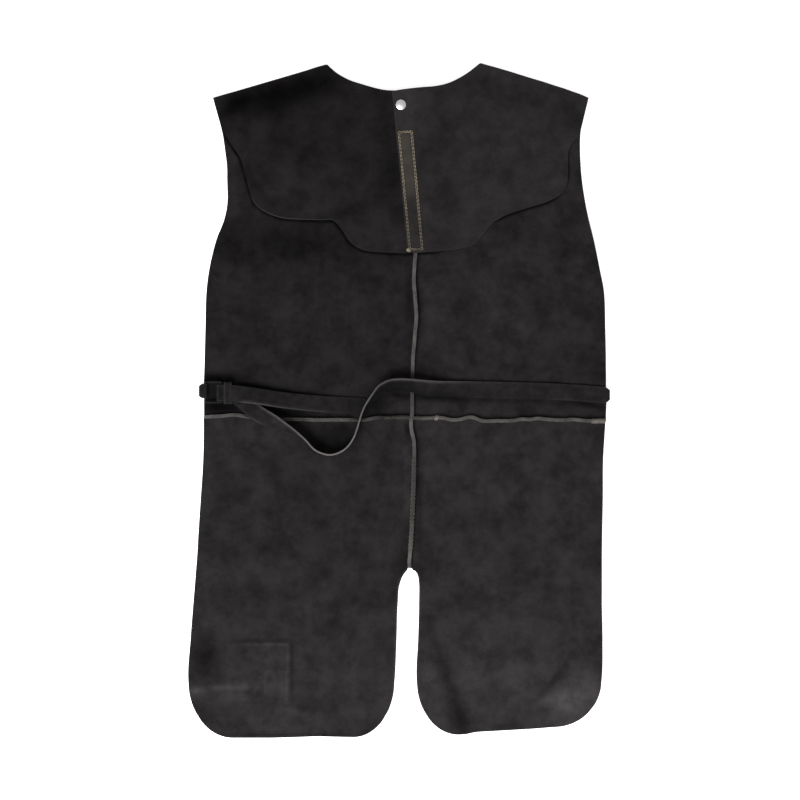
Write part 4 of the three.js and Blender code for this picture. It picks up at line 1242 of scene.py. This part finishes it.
STRAP_FREE_END = [
    (-272, 12, 12.3, 90, 0, 0, 0),
    (-262, 11.5, 12, 88, -1, 0, 0),
    (-251, 10.2, 10.8, 86, -6, 0, 0.1),
    (-239, 8.8, 9.2, 84, -13, 0, 0.32),
    (-223, 6.8, 7.2, 83, -18, 0, 0.32),
    (-205, 4, 5.4, 82, -18, 0, 0.36),
    (-185, 1, 4, 82, -15, 0, 0.28),
    (-160, -2, 2.8, 84, -12, 0, 0.2),
    (-125, -5, 2.1, 86, -8, 0, 0.12),
    (-92, -7, 1.6, 87, -4, 0, 0.03),
    (-72, -7.7, 1.2, 87, -1, 0, 0),
    (-50, -8.3, 1.1, 88, 0, 0, 0),
]
strap_hide = strap_leather(
    "strap_hide", (0.0062, 0.0056, 0.0059), (0.0142, 0.0130, 0.0135), (0.098, 0.093, 0.089)
)
strap_stations = np.vstack(
    [
        raised(STRAP_ANCHOR),
        half_turn(EDGE_TURN_X, EDGE_Y, EDGE_TURN_Z, EDGE_TURN_RADIUS, True),
        smoothed(raised(STRAP_RUN)),
        half_turn(STRAP_BAR_X, STRAP_BAR_Y, BUCKLE_Z, STRAP_BAR_RADIUS, False),
        smoothed(raised(STRAP_FREE_END)),
    ]
)
# the free end is skived thin and its corners are cut, and the strap is drawn in round the right side
TIP_LENGTH = 7.0
TIP_SHARE = 0.55  # of its width that is left at the tip
TIP_THICKNESS = 1.1
SKIVE_LENGTH = 80.0
DRAWN_FROM_X = 324
DRAWN_SHARE = 0.38  # of its width that is drawn in
from_tip = np.linalg.norm(strap_stations[:, :3] - strap_stations[-1, :3], axis=1)
cut = np.clip(from_tip / TIP_LENGTH, 0, 1)
drawn_length = EDGE_TURN_X + EDGE_TURN_RADIUS - DRAWN_FROM_X
drawn = np.clip((strap_stations[:, 0] - DRAWN_FROM_X) / drawn_length, 0, 1)
tapered = TIP_SHARE + (1 - TIP_SHARE) * np.sqrt(1 - (1 - cut) ** 2)
strap_narrowing = tapered - DRAWN_SHARE * drawn**2
on_free_end = np.arange(len(strap_stations)) > len(strap_stations) / 2
full = np.where(on_free_end, smoothstep(from_tip, 0, SKIVE_LENGTH), 1.0)
strap_thinning = (TIP_THICKNESS + (STRAP_THICKNESS - TIP_THICKNESS) * full) / STRAP_THICKNESS
STRAP_TONE_SHADE_AND_LIGHT = [
    (-215, -12, 0, 40, 14, -0.1),
    # this and the next are painted shade on the strap's standing face and along its lower edge
    (-5, 14, 0, 28, 22, -1.5),
    (62, 6, -6, 46, 7, -0.9),
    # painted shade round the free end's tip under the loop
    (-62, -9, 0, 22, 20, -0.5),
    # painted highlight on the turn round the buckle's bar, then painted shade between the bar and the
    # keeper
    (-286.6, 12, 90, 12, 1.6, 0.3),
    (-281.6, 12, 90, 14, 2.6, -1.1),
]
waist_strap = add_strip(
    "waist_strap_leather",
    strap_stations,
    STRAP_WIDTH,
    STRAP_THICKNESS,
    strap_hide,
    STRAP_TONE_SHADE_AND_LIGHT,
    strap_narrowing,
    strap_thinning,
)
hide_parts("waist_strap")


# A short tab holds the buckle. It comes round the left side from the front, over the buckle's outer
# bar and back below it.
TAB_WIDTH = 23.0
TAB_Y = 15.0
TAB_BAR_X = -305.5
TAB_BAR_RADIUS = 2.6
TAB_TURN_X = -309.0
TAB_TURN_RADIUS = 6.15
TAB_DRAWN_SHARE = 0.3  # how much narrower the tab is drawn where it turns round the side
TAB_MARKS = [(-300, 15, 0, 40, 40, -0.3)]
tab_stations = np.vstack(
    [
        [(x, TAB_Y, LEATHER / 2, 90, 0, 0, 0) for x in (-268, -290, -302)],
        half_turn(TAB_TURN_X, TAB_Y, LEATHER / 2 + TAB_TURN_RADIUS, TAB_TURN_RADIUS, False),
        half_turn(TAB_BAR_X, TAB_Y, BUCKLE_Z, TAB_BAR_RADIUS, True)[::-1],
        [(-309.5, TAB_Y, BUCKLE_Z - TAB_BAR_RADIUS, 90, 0, 0, 0)],
    ]
)
round_side = np.clip((TAB_TURN_X - tab_stations[:, 0]) / TAB_TURN_RADIUS, 0, 1)
buckle_tab = add_strip(
    "buckle_tab_leather",
    tab_stations,
    TAB_WIDTH,
    LEATHER,
    strap_hide,
    TAB_MARKS,
    1 - TAB_DRAWN_SHARE * round_side**2,
    np.ones(len(tab_stations)),
)
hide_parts("buckle_tab")


# The buckle is moulded in black plastic: a flat frame with a slim outer bar for the tab and a broad
# inner bar for the strap.
BUCKLE_OUTER = (-307, -4.5, -278, 30.5, 3.5)  # left, low, right and high sides, radius of its corners
BUCKLE_INNER = (-304, -1.5, -284.7, 27.5, 0.8)
BUCKLE_HALF_THICKNESS = 1.5
BUCKLE_ROUNDNESS = 0.55  # 1 gives an oval section, and less a squarer one


def rounded_loop(left, low, right, high, radius):
    """Points round a closed rectangle with round corners: seven on each corner, with one more halfway
    between each two."""
    turn = np.linspace(0, np.pi / 2, 7)
    angle = (turn + np.radians([[0], [90], [180], [270]])).ravel()
    middle_x = np.repeat([right - radius, left + radius, left + radius, right - radius], len(turn))
    middle_y = np.repeat([high - radius, high - radius, low + radius, low + radius], len(turn))
    loop = np.column_stack([middle_x + radius * np.cos(angle), middle_y + radius * np.sin(angle)])
    halfway = (loop + np.roll(loop, -1, axis=0)) / 2
    fine = np.stack([loop, halfway], axis=1).reshape(-1, 2)
    return np.vstack([fine, fine[:1]])


moulded, moulded_shader, moulded_place = start_material("moulded_plastic")
grain = moulded_place.noise(1500.0, 2.0, 0.5)
scuff = moulded_place.noise(160.0, 4.0, 0.7)
moulded_colour = scuff.mix((0.003, 0.003, 0.0032), (0.0075, 0.0075, 0.0078))
apply_finish(moulded_shader, moulded_colour, grain, 0.25, 0.0003, scuff * 0.25 + 0.55, 0.1)
outer_loop = rounded_loop(*BUCKLE_OUTER)
inner_loop = rounded_loop(*BUCKLE_INNER)
belly = np.radians(np.arange(0, 361, 15))
inward = np.sign(np.cos(belly)) * np.abs(np.cos(belly)) ** BUCKLE_ROUNDNESS
upward = np.sign(np.sin(belly)) * np.abs(np.sin(belly)) ** BUCKLE_ROUNDNESS
spine = (outer_loop + inner_loop) / 2
reach = (outer_loop - inner_loop) / 2
buckle_points = np.empty((len(spine), len(belly), 3))
buckle_points[..., :2] = spine[:, None] + reach[:, None] * inward[:, None]
buckle_points[..., 2] = BUCKLE_Z + BUCKLE_HALF_THICKNESS * upward
buckle_faces = grid_faces(*buckle_points.shape[:2])[:, ::-1]
buckle = add_piece("moulded_buckle", buckle_points, buckle_faces, [moulded])
close_seam(buckle)
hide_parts("buckle")


# The keeper is a narrow closed loop of the same hide beside the buckle. It goes round both runs of
# the strap and holds the free end down.
KEEPER_X = -270.0
KEEPER_LOOP = (-4.9, 5.3, 28.9, 15.8, 1.6)  # its sides along and above the apron, radius of its corners
KEEPER_TONE = 0.8
KEEPER_PALE = 0.5
KEEPER_SECTION = np.array(
    [
        (6, -0.3),
        (6, 0.3),
        (5.6, 0.6),
        (2, 0.65),
        (-2, 0.65),
        (-5.6, 0.6),
        (-6, 0.3),
        (-6, -0.3),
        (-5.6, -0.6),
        (5.6, -0.6),
        (6, -0.3),
    ]
)
keeper_loop = rounded_loop(*KEEPER_LOOP)
open_loop = keeper_loop[:-1]
loop_heading = np.roll(open_loop, -1, axis=0) - np.roll(open_loop, 1, axis=0)
loop_heading = np.vstack([loop_heading, loop_heading[:1]])
loop_heading /= np.linalg.norm(loop_heading, axis=1, keepdims=True)
loop_out = np.column_stack([loop_heading[:, 1], -loop_heading[:, 0]])
keeper_points = np.empty((len(keeper_loop), len(KEEPER_SECTION), 3))
keeper_points[..., 0] = KEEPER_X + KEEPER_SECTION[:, 0]
keeper_points[..., 1:] = keeper_loop[:, None] + loop_out[:, None] * KEEPER_SECTION[:, [1]]
keeper_grid = keeper_points.shape[:2]
keeper_rim = np.broadcast_to(smoothstep(np.abs(KEEPER_SECTION[:, 0]), 5.5, 5.9), keeper_grid)
keeper_values = {"rim": keeper_rim * KEEPER_PALE, "tone": np.full(keeper_grid, KEEPER_TONE)}
strap_keeper = add_piece(
    "strap_keeper_leather", keeper_points, grid_faces(*keeper_grid), [strap_hide], keeper_values
)
close_seam(strap_keeper)
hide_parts("strap_keeper")
